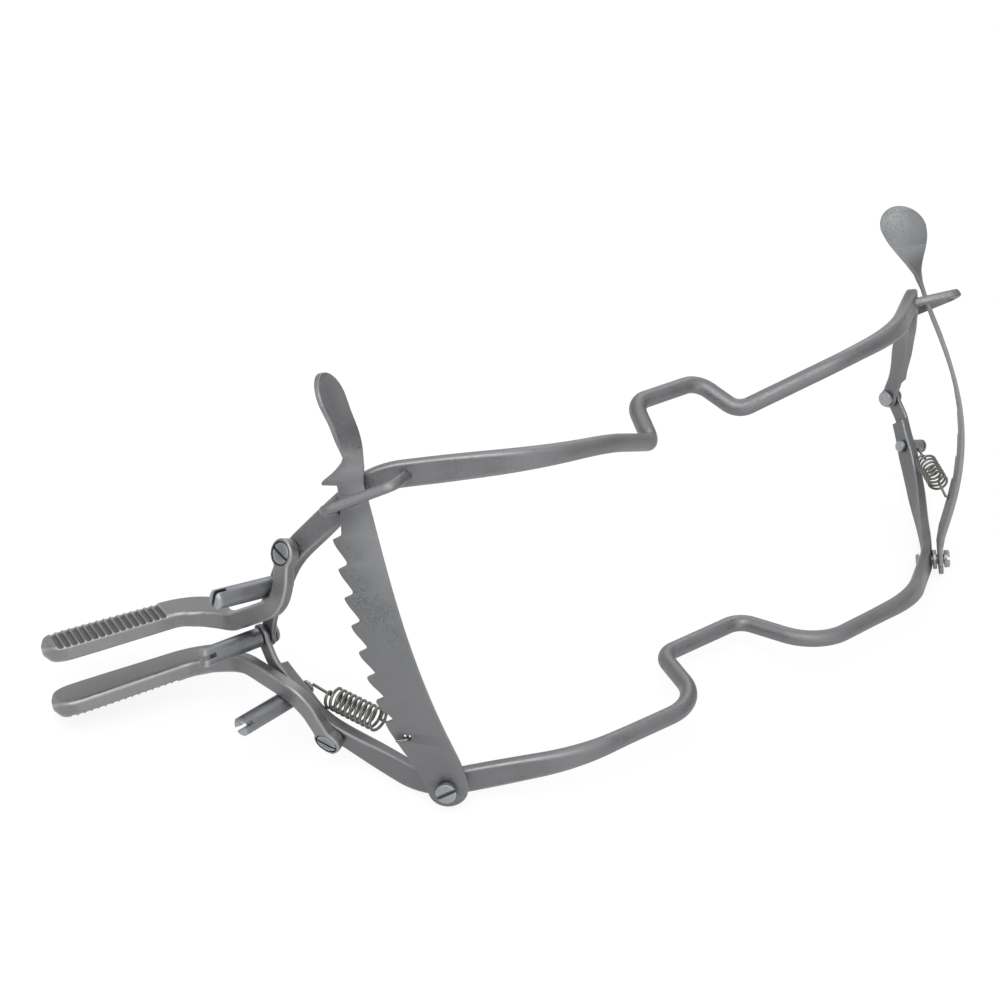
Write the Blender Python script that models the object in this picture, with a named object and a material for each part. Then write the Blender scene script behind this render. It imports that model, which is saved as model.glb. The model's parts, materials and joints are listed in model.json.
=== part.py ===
"""Two-sided mouth gag with ratchet plates and finger levers, in metres, +Z up.

The instrument is modelled in its own frame: the hinge axis is the X axis, the
tooth bumps point to -Y, and Z is the direction in which the jaws open. An empty
then lays it on the table, on the two lower corners and the tip of the lower lever.
"""
import bpy
import numpy as np
from math import atan2, ceil, cos, pi, radians, sin, sqrt
from mathutils import Matrix, Vector

for old in list(bpy.data.objects):
    bpy.data.objects.remove(old, do_unlink=True)

# Frame bars
HALF_SPAN = 0.083
ROD_D = 0.0033
STRIP_T = 0.0023
STRIP_H = 0.0037
EDGE_R = 0.00045
EYE_R = 0.0022
LAP_LENGTH = 0.0062
LAP_RAMP = 0.0004
ROUND_FROM_X = HALF_SPAN - 0.025
ROUND_TO_X = HALF_SPAN - 0.033
BITE_FLAT = 0.90

# Clearances
SEAT_GAP = 0.0002
BORE_GAP = 0.0002
LAP_GAP = 0.0003
PLATE_GAP = 0.00035

# Pins, posts and screws
PIN_R = 0.0011
POST_R = 0.00175
POST_AT = 0.012
POST_TILT = -0.14
POST_REACH = 0.0118
HINGE_POST_REACH = 0.0115
PIN_HEAD_R = 0.0019
NUB_R = 0.0014
NUB_H = 0.0007
SLOT_W = 0.0006
SLOT_DEPTH = 0.0020
POST_CHAMFER = 0.00045

# Finger levers
LEVER_EYE_R = 0.0026
LEVER_ARM_T = 0.0022
LEVER_ARM_H = 0.0034
PAD_T = 0.0030
PAD_W = 0.0080
PAD_TIP_W = 0.0092
SERRATION_N = 16
SERRATION_PITCH = 0.00125
SERRATION_DEPTH = 0.00045
UPPER_SCREW_AT = 0.0190
LOWER_SCREW_AT = 0.0213
SCREW_HEAD_R = 0.00195
SCREW_SHANK_R = 0.0010
SCREW_HEAD_H = 0.0009
LEVER_BEND_R = 0.0080

# Ratchet plates, loops and springs
PLATE_TURN = radians(47.0)
PLATE_T = 0.0009
PIVOT_X = HALF_SPAN - 0.0185
LOOP_X = HALF_SPAN - 0.0147
TOOTH_N = 8
TOOTH_PITCH = 0.00479
TOOTH_DEPTH = 0.0016
TOOTH_FIRST = 0.0155
SHOULDER = 0.0008
PLATE_BOW = 0.0056
PLATE_LEAN = 0.0010
LOOP_AT = 0.0566
SPUR_RISE = 0.0016
THUMB_TWIST = radians(-70.0)
THUMB_W = 0.0094
THUMB_NECK_W = 0.0035
THUMB_TIP = 0.0760
WASHER_R = 0.0021
WASHER_T = 0.0008
PIVOT_HEAD_R = 0.0019
PIVOT_HEAD_H = 0.0012
PIVOT_SHANK_R = 0.00105
LOOP_WIRE_R = 0.00065
LOOP_DEPTH = 0.0072
LOOP_REAR = 0.0079
LOOP_FRONT = 0.0060
SPRING_R = 0.0020
SPRING_WIRE_R = 0.00028
SPRING_TURNS_LEFT = 10
SPRING_TURNS_RIGHT = 7
SPRING_HOLE_R = 0.0008

STEEL = (0.23, 0.235, 0.25)
PLATE_STEEL = (0.18, 0.185, 0.195)
SPRING_STEEL = (0.13, 0.13, 0.12)


def unit(v):
    v = np.asarray(v, float)
    return v / np.linalg.norm(v)


def smooth(a, b, v):
    """0 below a, 1 above b, with an eased ramp between; also for a > b."""
    u = min(1.0, max(0.0, (v - a) / (b - a)))
    return u * u * (3.0 - 2.0 * u)


def material(name, colour, rough):
    mat = bpy.data.materials.new(name)
    mat.use_nodes = True
    shader = mat.node_tree.nodes["Principled BSDF"]
    shader.inputs["Base Color"].default_value = (*colour, 1.0)
    shader.inputs["Metallic"].default_value = 1.0
    shader.inputs["Roughness"].default_value = rough
    return mat


def make(name, verts, faces, colour=STEEL, rough=0.4, origin=(0, 0, 0), parent=None):
    """Mesh object whose origin is at the given point of its parent's frame."""
    mesh = bpy.data.meshes.new(name)
    mesh.from_pydata([tuple(np.asarray(v, float) - np.asarray(origin, float)) for v in verts], [], faces)
    mesh.shade_smooth()
    mesh.set_sharp_from_angle(angle=radians(35))
    obj = bpy.data.objects.new(name, mesh)
    obj.location = origin
    bpy.context.scene.collection.objects.link(obj)
    mesh.materials.append(material(name, colour, rough))
    obj.parent = parent
    return obj


def mirrored(verts, faces):
    """The same shape on the other side of the middle plane."""
    flipped = [(-v[0], v[1], v[2]) for v in verts]
    return flipped, [tuple(reversed(f)) for f in faces]


def joined_rings(rings, closed=False):
    """Side faces between equal rings of points, and a cap on each end unless closed."""
    n = len(rings[0])
    verts = [tuple(p) for ring in rings for p in ring]
    faces = []
    count = len(rings)
    for i in range(count if closed else count - 1):
        j = (i + 1) % count
        for k in range(n):
            m = (k + 1) % n
            faces.append((i * n + k, i * n + m, j * n + m, j * n + k))
    if not closed:
        faces.append(tuple(reversed(range(n))))
        faces.append(tuple(range((count - 1) * n, count * n)))
    return verts, faces


class Path:
    """Polyline whose corners are replaced by tangent arcs, measured by arc length."""

    def __init__(self, corners, radii, turn_step=radians(15.0)):
        corners = [np.asarray(c, float) for c in corners]
        points = [corners[0]]
        for i in range(1, len(corners) - 1):
            a = unit(corners[i] - corners[i - 1])
            b = unit(corners[i + 1] - corners[i])
            turn = atan2(np.linalg.norm(np.cross(a, b)), float(a @ b))
            back = radii[i - 1] * np.tan(turn / 2)
            start = corners[i] - a * back
            side = unit(b - a * float(a @ b))
            centre = start + side * radii[i - 1]
            steps = max(2, ceil(turn / turn_step))
            for k in range(steps + 1):
                angle = turn * k / steps
                points.append(centre - side * radii[i - 1] * cos(angle) + a * radii[i - 1] * sin(angle))
        points.append(corners[-1])
        self.points = np.array(points)
        legs = np.diff(self.points, axis=0)
        lengths = np.linalg.norm(legs, axis=1)
        self.s = np.concatenate([[0.0], np.cumsum(lengths)])
        units = legs / lengths[:, None]
        mean = np.vstack([units[:1], units[:-1] + units[1:], units[-1:]])
        self.tangents = mean / np.linalg.norm(mean, axis=1)[:, None]

    @property
    def length(self):
        return float(self.s[-1])

    def at(self, s):
        """Point and unit tangent at arc length s; past an end the path runs straight on."""
        if s <= 0.0:
            return self.points[0] + self.tangents[0] * s, self.tangents[0]
        if s >= self.length:
            return self.points[-1] + self.tangents[-1] * (s - self.length), self.tangents[-1]
        point = np.array([np.interp(s, self.s, self.points[:, k]) for k in range(3)])
        tangent = np.array([np.interp(s, self.s, self.tangents[:, k]) for k in range(3)])
        return point, unit(tangent)

    def s_where(self, axis, value):
        """First arc length where one coordinate reaches the value."""
        column = self.points[:, axis] - value
        for i in range(len(column) - 1):
            if column[i] == 0.0 or column[i] * column[i + 1] < 0.0:
                share = column[i] / (column[i] - column[i + 1])
                return float(self.s[i] + share * (self.s[i + 1] - self.s[i]))
        return self.length


def bar_path(up):
    """Half a frame bar from the right hinge to the middle; up is +1 or -1."""
    if up > 0:
        corner = (HALF_SPAN - 0.0145, -0.0212, 0.0290)
        cross = (HALF_SPAN - 0.0380, -0.0366, 0.0282)
        shoulder = (0.0290, -0.0362, 0.0262)
        foot = (0.0112, -0.0258, 0.0197)
        top = (0.0081, -0.0183, 0.0254)
        bends = [cross, shoulder, foot]
        radii = [0.008, 0.018, 0.014, 0.025, 0.018, 0.0030, 0.0034]
    else:
        corner = (HALF_SPAN - 0.0155, -0.0220, -0.0292)
        cross = (HALF_SPAN - 0.0380, -0.0368, -0.0280)
        foot = (0.0160, -0.0376, -0.0281)
        top = (0.0105, -0.0212, -0.0250)
        bends = [cross, foot]
        radii = [0.008, 0.018, 0.014, 0.025, 0.0075, 0.0036]
    leg = (HALF_SPAN, -0.0024, up * 0.0046)
    arm = (HALF_SPAN - 0.0037, -0.0085, up * 0.0160)
    middle = (0.0, top[1], top[2])
    corners = [(HALF_SPAN, 0.0, 0.0), leg, arm, corner, *bends, top, middle]
    return Path(corners, radii)


def bar_frame(path, s):
    """Centre, tangent, face normal and height direction of the bar at arc length s."""
    point, tangent = path.at(s)
    level = unit((-tangent[1], tangent[0], 0.0))
    near = smooth(0.036, 0.022, s)
    hint = np.array([1.0, 0.0, 0.0]) * near + level * (1.0 - near)
    normal = unit(hint - tangent * float(hint @ tangent))
    return point, tangent, normal, np.cross(tangent, normal)


def rounded_section(half_n, half_w, radius, shift, flat_low, flat_high):
    """Twelve points round a rectangle with rounded corners, in normal and height."""
    radius = min(radius, half_n * 0.9, half_w * 0.9) if half_n != half_w else radius
    points = []
    for quarter in range(4):
        sn = 1.0 if quarter in (0, 3) else -1.0
        sw = 1.0 if quarter in (0, 1) else -1.0
        for part in (15.0, 45.0, 75.0):
            angle = radians(part + 90.0 * quarter)
            n = sn * (half_n - radius) + radius * cos(angle) + shift
            w = sw * (half_w - radius) + radius * sin(angle)
            points.append((n, max(flat_low, min(flat_high, w))))
    return points


def bar_rings(path, up):
    """Rings of the half bar, from the tip of its hinge eye to the middle."""
    stations = [-EYE_R * cos(radians(d)) for d in (14, 35, 58, 78)]
    stations += [0.0, EYE_R * 0.45, EYE_R * 0.9]
    stations += [LAP_LENGTH - LAP_RAMP, LAP_LENGTH]
    for i in range(len(path.s) - 1):
        gap = path.s[i + 1] - path.s[i]
        pieces = max(1, round(gap / 0.0055))
        stations += [path.s[i] + gap * k / pieces for k in range(1, pieces + 1)]
    stations = sorted(stations)
    kept = [stations[0]]
    for s in stations[1:]:
        if s - kept[-1] > 0.00022:
            kept.append(s)
    kept[-1] = path.length
    rings = []
    rod = ROD_D / 2
    bump_s = path.s_where(0, 0.0059 if up > 0 else 0.0082)
    for s in kept:
        point, tangent, normal, height = bar_frame(path, s)
        round_part = smooth(ROUND_FROM_X, ROUND_TO_X, point[0]) if s > 0.02 else 0.0
        half_n = STRIP_T / 2 * (1 - round_part) + rod * round_part
        half_w = STRIP_H / 2 * (1 - round_part) + rod * round_part
        radius = EDGE_R * (1 - round_part) + rod * round_part
        shift = 0.0
        if s < EYE_R:
            half_w = max(sqrt(max(EYE_R ** 2 - s * s, 0.0)), half_w if s > 0 else 0.0)
        lap = 1.0 - smooth(LAP_LENGTH - LAP_RAMP, LAP_LENGTH, s)
        if lap > 0.0:
            thin = (half_n - LAP_GAP / 2) / 2
            side = 1.0 if up < 0 else -1.0
            shift = side * (half_n - thin) * lap
            half_n = thin * lap + half_n * (1 - lap)
        low, high = -1.0, 1.0
        if s > bump_s:
            high = half_w * BITE_FLAT if up > 0 else 1.0
            low = -half_w * BITE_FLAT if up < 0 else -1.0
        section = rounded_section(half_n, half_w, radius, shift, low, high)
        rings.append([point + normal * n + height * w for n, w in section])
    return rings


def whole_bar(name, up, parent):
    """Both halves of a bar as one loft from the right hinge to the left one."""
    path = bar_path(up)
    right = bar_rings(path, up)
    # The left half is the right one mirrored, with its rings taken from the middle outwards.
    left = [[np.array((-p[0], p[1], p[2])) for p in ring] for ring in reversed(right[:-1])]
    rings = right + left
    verts, faces = joined_rings(rings)
    return make(name, verts, faces, parent=parent), path


def frame_of(axis, up_hint=(0.0, 0.0, 1.0)):
    """Two unit vectors square to an axis; the first is close to the hint."""
    axis = unit(axis)
    hint = np.asarray(up_hint, float)
    if abs(float(axis @ unit(hint))) > 0.95:
        hint = np.array([0.0, 1.0, 0.0])
    first = unit(hint - axis * float(axis @ hint))
    return first, np.cross(axis, first)


def turned(base, axis, profile, sides=20):
    """Solid of revolution: profile pairs of height along the axis and radius."""
    axis = unit(axis)
    first, second = frame_of(axis)
    rings = []
    for height, radius in profile:
        ring = []
        for k in range(sides):
            a = 2 * pi * k / sides
            ring.append(np.asarray(base) + axis * height + (first * cos(a) + second * sin(a)) * radius)
        rings.append(ring)
    return joined_rings(rings)


def box_cutter(name, centre, along, across, up, size, parent):
    """Guide box given by its centre, three directions and full sizes."""
    verts = []
    for i in (-1, 1):
        for j in (-1, 1):
            for k in (-1, 1):
                verts.append(np.asarray(centre) + unit(along) * i * size[0] / 2
                             + unit(across) * j * size[1] / 2 + unit(up) * k * size[2] / 2)
    faces = [(0, 1, 3, 2), (4, 6, 7, 5), (0, 4, 5, 1), (2, 3, 7, 6), (0, 2, 6, 4), (1, 5, 7, 3)]
    if float(np.cross(unit(along), unit(across)) @ unit(up)) < 0:
        faces = [tuple(reversed(f)) for f in faces]
    return guide(name, verts, faces, parent)


def guide(name, verts, faces, parent):
    obj = make(name, verts, faces, parent=parent)
    obj.hide_render = True
    obj.display_type = "WIRE"
    return obj


def rod_cutter(name, base, axis, low, high, radius, parent, sides=20):
    verts, faces = turned(base, axis, [(low, radius), (high, radius)], sides)
    return guide(name, verts, faces, parent)


def cut(target, tool):
    mod = target.modifiers.new("cut_" + tool.name, "BOOLEAN")
    mod.operation = "DIFFERENCE"
    mod.solver = "EXACT"
    mod.object = tool


instrument = bpy.data.objects.new("instrument", None)
bpy.context.scene.collection.objects.link(instrument)
upper_swing = bpy.data.objects.new("upper_swing", None)
bpy.context.scene.collection.objects.link(upper_swing)
upper_swing.parent = instrument

lower_frame, lower_path = whole_bar("lower_frame", -1, instrument)
upper_frame, upper_path = whole_bar("upper_frame", +1, upper_swing)


def flip_x(v):
    return np.array([-v[0], v[1], v[2]])


# Hinges: on the left a long slotted post, on the right a short pin with two heads.
outer_face = HALF_SPAN + STRIP_T / 2 + SEAT_GAP
inner_face = HALF_SPAN - STRIP_T / 2 - SEAT_GAP
post_end = outer_face + HINGE_POST_REACH
post_profile = [(inner_face - NUB_H, PIN_HEAD_R * 0.75), (inner_face - NUB_H * 0.5, PIN_HEAD_R),
                (inner_face, PIN_HEAD_R), (inner_face, PIN_R), (outer_face, PIN_R),
                (outer_face, POST_R), (post_end - POST_CHAMFER, POST_R), (post_end, POST_R - POST_CHAMFER)]
hinge_verts, hinge_faces = turned((0, 0, 0), (-1, 0, 0), post_profile)
hinge_post = make("hinge_post_left", hinge_verts, hinge_faces, rough=0.36, parent=instrument)
hinge_slot = box_cutter("hinge_slot_cut", (-post_end + SLOT_DEPTH / 2 - 0.0005, 0, 0), (1, 0, 0),
                        (0, 1, 0.25), (0, -0.25, 1), (SLOT_DEPTH + 0.001, 0.006, SLOT_W), instrument)
cut(hinge_post, hinge_slot)

pin_profile = [(inner_face - NUB_H, PIN_HEAD_R * 0.75), (inner_face - NUB_H * 0.5, PIN_HEAD_R),
               (inner_face, PIN_HEAD_R), (inner_face, PIN_R), (outer_face, PIN_R), (outer_face, PIN_HEAD_R),
               (outer_face + NUB_H * 0.5, PIN_HEAD_R), (outer_face + NUB_H, PIN_HEAD_R * 0.75)]
pin_verts, pin_faces = turned((0, 0, 0), (1, 0, 0), pin_profile)
make("hinge_pin_right", pin_verts, pin_faces, rough=0.36, parent=instrument)

for side, sign in (("left", -1), ("right", 1)):
    for bar, owner in ((lower_frame, "lower"), (upper_frame, "upper")):
        tool = rod_cutter(f"hinge_bore_{owner}_{side}", (sign * HALF_SPAN, 0, 0), (1, 0, 0),
                          -0.004, 0.004, PIN_R + BORE_GAP, bar.parent)
        cut(bar, tool)


def cross_pin(name, path, bar, along, tilt_sign, reach, outer_r, slotted, sign, parent):
    """Post through a bar, square to its face but leaning away from the hinge."""
    point, tangent, normal, height = bar_frame(path, along)
    axis = unit(normal + tangent * POST_TILT * tilt_sign)
    if sign < 0:
        point, axis = flip_x(point), flip_x(axis)
    half = STRIP_T / 2 + SEAT_GAP + POST_R * abs(POST_TILT) * 0.8
    profile = [(-half - NUB_H, NUB_R * 0.75), (-half - NUB_H * 0.5, NUB_R), (-half, NUB_R), (-half, PIN_R),
               (half, PIN_R), (half, outer_r), (half + reach - POST_CHAMFER, outer_r),
               (half + reach, outer_r - POST_CHAMFER)]
    if sign > 0:
        profile = profile[:5] + [(half + reach - 0.0007, PIN_R), (half + reach - 0.0007, outer_r),
                                 (half + reach, outer_r)]
    verts, faces = turned(point, axis, profile)
    post = make(name, verts, faces, rough=0.36, parent=parent)
    if slotted:
        first, second = frame_of(axis)
        cutter = box_cutter(name + "_slot_cut", point + axis * (half + reach - SLOT_DEPTH / 2 + 0.0005),
                            axis, first * 0.9 + second * 0.45, second * 0.9 - first * 0.45,
                            (SLOT_DEPTH + 0.001, 0.006, SLOT_W), parent)
        cut(post, cutter)
    bore = rod_cutter(name + "_bore", point, axis, -0.004, 0.004, PIN_R + BORE_GAP, parent)
    cut(bar, bore)
    return point, axis, half


upper_post_at, upper_post_axis, post_half = cross_pin(
    "upper_post", upper_path, upper_frame, POST_AT, 1.0, POST_REACH, POST_R, True, -1, upper_swing)
lower_post_at, lower_post_axis, post_half = cross_pin(
    "lower_post", lower_path, lower_frame, POST_AT, 1.0, POST_REACH, POST_R, True, -1, instrument)
spring_post_at, spring_post_axis, post_half = cross_pin(
    "spring_post_right", lower_path, lower_frame, POST_AT, 0.0, 0.0034, PIN_R * 1.35, False, 1, instrument)


# Finger levers: from an eye screwed on the bar, under or over the posts, then out to the pad.
# The dip, bend and tip are measured from the left hinge.
def lever(name, path, up, screw_at, turn_point, dip, bend, tip, parent):
    point, tangent, normal, height = bar_frame(path, screw_at)
    point, normal = flip_x(point), flip_x(normal)
    eye = point + normal * (STRIP_T / 2 + SEAT_GAP + LEVER_ARM_T / 2)
    fall = np.array([0.0, turn_point[0] - eye[1], turn_point[1] - eye[2]])
    fall = fall - normal * float(fall @ normal)
    turn = eye + fall
    dip, bend, tip = (np.array(v) - np.array([HALF_SPAN, 0.0, 0.0]) for v in (dip, bend, tip))
    route = Path([eye, turn, dip, bend, tip], [0.0055, 0.0080, LEVER_BEND_R], radians(12.0))
    total = route.length
    wide_from = float(route.s[np.argmin(np.linalg.norm(route.points - np.asarray(bend), axis=1))])
    stations = [-LEVER_EYE_R * cos(radians(d)) for d in (12, 32, 55, 78)]
    stations += [LEVER_EYE_R * v for v in (0.0, 0.3, 0.6, 0.85)]
    for i in range(len(route.s) - 1):
        gap = route.s[i + 1] - route.s[i]
        pieces = max(1, round(gap / 0.004))
        stations += [route.s[i] + gap * k / pieces for k in range(pieces)]
    teeth_end = total - 0.0022
    teeth_start = teeth_end - SERRATION_N * SERRATION_PITCH
    stations = [s for s in stations if s < teeth_start - 0.0004]
    low_at = []
    for k in range(SERRATION_N):
        base = teeth_start + k * SERRATION_PITCH
        stations += [base, base + SERRATION_PITCH * 0.30, base + SERRATION_PITCH * 0.55, base + SERRATION_PITCH * 0.80]
        low_at += [base + SERRATION_PITCH * 0.30, base + SERRATION_PITCH * 0.55]
    tip_r = PAD_TIP_W / 2
    stations += [teeth_end, total - 0.0012, total - 0.0005, total - 0.0001]
    stations = sorted(stations)
    kept = [stations[0]]
    for s in stations[1:]:
        if s - kept[-1] > 0.0002:
            kept.append(s)
    rings = []
    for s in kept:
        centre, along = route.at(s)
        level = np.array([-along[1], along[0], 0.0])
        level = level / max(np.linalg.norm(level), 1e-6)
        blend = smooth(0.006, 0.013, s)
        hint = normal * (1 - blend) + level * blend
        wide = unit(hint - along * float(hint @ along))
        thick = np.cross(along, wide)
        pad = smooth(wide_from - 0.010, wide_from - 0.001, s)
        half_w = LEVER_ARM_T / 2 * (1 - pad) + PAD_W / 2 * pad
        half_w += (PAD_TIP_W - PAD_W) / 2 * smooth(wide_from, total - tip_r, s)
        if s > total - tip_r:
            half_w = max(0.0006, sqrt(max(tip_r ** 2 - (s - total + tip_r) ** 2, 0.0)))
        half_t = LEVER_ARM_H / 2 * (1 - pad) + PAD_T / 2 * pad
        if s < LEVER_EYE_R:
            half_t = max(sqrt(max(LEVER_EYE_R ** 2 - s * s, 0.0)), LEVER_ARM_H / 2 if s > 0 else 0.0)
        chamfer = min(0.00035, half_w * 0.5, half_t * 0.5)
        dig = SERRATION_DEPTH if any(abs(s - v) < 1e-6 for v in low_at) else 0.0
        end_round = 0.0006 * smooth(total - 0.0014, total, s)
        top = half_t - end_round - (dig if up > 0 else 0.0)
        low = -half_t + end_round + (dig if up < 0 else 0.0)
        section = [(half_w, low + chamfer), (half_w, top - chamfer), (half_w - chamfer, top),
                   (-half_w + chamfer, top), (-half_w, top - chamfer), (-half_w, low + chamfer),
                   (-half_w + chamfer, low), (half_w - chamfer, low)]
        rings.append([centre + wide * w + thick * t for w, t in section])
    verts, faces = joined_rings(rings)
    body = make(name, verts, faces, rough=0.38, parent=parent)
    # Screw: head sunk flush in the eye, shank on through the bar.
    face = LEVER_ARM_T / 2
    through = LEVER_ARM_T / 2 + SEAT_GAP + STRIP_T
    screw_profile = [(-through - 0.0002, SCREW_SHANK_R), (face - SCREW_HEAD_H, SCREW_SHANK_R),
                     (face - SCREW_HEAD_H, SCREW_HEAD_R), (face - 0.0001, SCREW_HEAD_R),
                     (face + 0.0001, SCREW_HEAD_R - 0.0002)]
    screw_verts, screw_faces = turned(eye, normal, screw_profile)
    screw = make(name + "_screw", screw_verts, screw_faces, rough=0.36, parent=parent)
    first, second = frame_of(normal)
    cut(screw, box_cutter(name + "_screw_slot_cut", eye + normal * (face + 0.0003), normal,
                          first * 0.5 + second * 0.85, second * 0.5 - first * 0.85,
                          (0.0014, 0.006, SLOT_W * 0.8), parent))
    seat_profile = [(-0.004, SCREW_SHANK_R + BORE_GAP), (face - SCREW_HEAD_H - SEAT_GAP, SCREW_SHANK_R + BORE_GAP),
                    (face - SCREW_HEAD_H - SEAT_GAP, SCREW_HEAD_R + BORE_GAP * 0.75),
                    (0.004, SCREW_HEAD_R + BORE_GAP * 0.75)]
    seat_verts, seat_faces = turned(eye, normal, seat_profile)
    cut(body, guide(name + "_seat_cut", seat_verts, seat_faces, parent))
    bar = upper_frame if up > 0 else lower_frame
    cut(bar, rod_cutter(name + "_bar_bore", eye, normal, -0.008, 0.0, SCREW_SHANK_R + BORE_GAP, parent))
    return body


upper_lever = lever("upper_lever", upper_path, +1, UPPER_SCREW_AT, (-0.0098, 0.0076),
                    (-0.0036, 0.0048, 0.0026), (-0.0055, 0.0150, 0.0036), (-0.0332, 0.0207, 0.0033), upper_swing)
lower_lever = lever("lower_lever", lower_path, -1, LOWER_SCREW_AT, (-0.0100, -0.0073),
                    (-0.0035, 0.0020, -0.0049), (-0.0055, 0.0150, -0.0063), (-0.0336, 0.0207, -0.0073), instrument)


# Ratchet plates. Across runs to the front and inward, out is the face normal, rise is Z.
def plate_axes():
    out = np.array([cos(PLATE_TURN), -sin(PLATE_TURN), 0.0])
    across = np.array([-sin(PLATE_TURN), -cos(PLATE_TURN), 0.0])
    return across, out


ACROSS, OUT = plate_axes()
RISE = np.array([0.0, 0.0, 1.0])
pivot_s = lower_path.s_where(0, PIVOT_X)
pivot_bar, pivot_tangent, pivot_normal, pivot_height = bar_frame(lower_path, pivot_s)
PLATE_STAND = STRIP_T / 2 + SEAT_GAP + WASHER_T + PLATE_GAP + PLATE_T / 2
pivot = pivot_bar + OUT * PLATE_STAND


def plate_front(b):
    """Front edge of the plate, which leans back as it rises."""
    return 0.00405 - 0.172 * b


def plate_tips(b):
    """Line through the tooth tips on the rear edge."""
    bulge = 0.0003 * (1.0 - ((b - 0.032) / 0.0167) ** 2)
    return -0.0079 - 0.1224 * (b - TOOTH_FIRST) - bulge


def plate_bow(b):
    """How far the plate stands out from the plane of its pivot at height b."""
    low, high = 0.003, 0.054
    lean = PLATE_LEAN * max(0.0, b - low) / (0.056 - low)
    if b <= low:
        return 0.0
    if b >= high:
        slope = -PLATE_BOW * pi / (high - low) + PLATE_LEAN / (0.056 - low)
        ease = min(b - high, 0.004)
        rest = max(0.0, b - high - 0.004)
        return PLATE_LEAN * (high - low) / (0.056 - low) + slope * ease * 0.8 + (-0.24) * rest
    arch = PLATE_BOW * sin(pi * (b - low) / (high - low))
    return arch * (1.0 - np.exp(-(b - low) / 0.003)) + lean


def plate_outline():
    """Stations of height, rear edge, front edge and twist from bottom to thumb tip."""
    rows = []
    for deg in (20, 45, 70):
        b = -0.0038 * cos(radians(deg))
        half = 0.0038 * sin(radians(deg))
        rows.append((b, -half, min(half, 0.0034), 0.0))
    rows.append((0.0, -0.0039, plate_front(0.0), 0.0))
    for b, rear in ((0.0030, -0.0044), (0.0060, -0.0052), (0.0090, -0.0061), (0.0120, -0.0070), (0.0144, -0.0077)):
        rows.append((b, rear, plate_front(b), 0.0))
    for k in range(TOOTH_N):
        b = TOOTH_FIRST + k * TOOTH_PITCH
        rows.append((b, plate_tips(b), plate_front(b), 0.0))
        rows.append((b + 0.0002, plate_tips(b) + 0.0001, plate_front(b + 0.0002), 0.0))
        root = b + SHOULDER
        rows.append((root, plate_tips(root) + TOOTH_DEPTH, plate_front(root), 0.0))
        rows.append((root + 0.0004, plate_tips(root + 0.0004) + TOOTH_DEPTH * 0.95, plate_front(root + 0.0004), 0.0))
        if k < TOOTH_N - 1:
            mid = root + (TOOTH_PITCH - SHOULDER) * 0.6
            rows.append((mid, plate_tips(mid) + TOOTH_DEPTH * 0.35, plate_front(mid), 0.0))
    top = LOOP_AT
    rows.append((top - 0.0036, -0.0103, plate_front(top - 0.0036), 0.0))
    rows.append((top, -0.0103, plate_front(top), 0.0))
    rows.append((top + SPUR_RISE - 0.0003, -0.0103, plate_front(top + 0.0013), 0.0))
    rows.append((top + SPUR_RISE, -0.0129, -0.0058, 0.0))
    rows.append((top + SPUR_RISE + 0.0008, -0.0127, -0.0057, 0.0))
    rows.append((top + SPUR_RISE + 0.0020, -0.0096, -0.0055, 0.06))
    neck = top + 0.0056
    half = THUMB_NECK_W / 2
    rows.append((neck, -0.0072 - half, -0.0072 + half, 0.22))
    stretch = THUMB_TIP - neck
    for share, wide, twist in ((0.12, 0.42, 0.48), (0.26, 0.58, 0.78), (0.42, 0.80, 0.97), (0.56, 0.95, 1.0),
                               (0.68, 1.0, 1.0), (0.80, 0.95, 1.0), (0.89, 0.80, 1.0), (0.955, 0.56, 1.0),
                               (0.99, 0.28, 1.0)):
        centre = -0.0072 - 0.0020 * share
        half = THUMB_W / 2 * wide
        rows.append((neck + stretch * share, centre - half, centre + half, twist))
    return rows


def plate_shape():
    rings = []
    rows = plate_outline()
    for b, rear, front, twist in rows:
        centre = (rear + front) / 2
        half = (front - rear) / 2
        slope = (plate_bow(b + 0.0003) - plate_bow(b - 0.0003)) / 0.0006
        angle = THUMB_TWIST * twist
        side = ACROSS * cos(angle) + np.cross(RISE, ACROSS) * sin(angle)
        face = OUT * cos(angle) + np.cross(RISE, OUT) * sin(angle)
        face = unit(face - RISE * slope * float(face @ OUT))
        mid = pivot + ACROSS * centre + RISE * b + OUT * plate_bow(b)
        t = PLATE_T / 2
        rings.append([mid + side * half - face * t, mid - side * half - face * t,
                      mid - side * half + face * t, mid + side * half + face * t])
    return joined_rings(rings)


plate_verts, plate_faces = plate_shape()
plate_volume = 0.0
for f in plate_faces:
    a = np.asarray(plate_verts[f[0]])
    for k in range(1, len(f) - 1):
        plate_volume += float(a @ np.cross(plate_verts[f[k]], plate_verts[f[k + 1]])) / 6
if plate_volume < 0:
    plate_faces = [tuple(reversed(f)) for f in plate_faces]
HOLE_A, HOLE_B = -0.0048, 0.0124
hole_point = pivot + ACROSS * HOLE_A + RISE * HOLE_B + OUT * plate_bow(HOLE_B)
hole_slope = (plate_bow(HOLE_B + 0.0003) - plate_bow(HOLE_B - 0.0003)) / 0.0006
hole_axis = unit(OUT - RISE * hole_slope)

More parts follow.
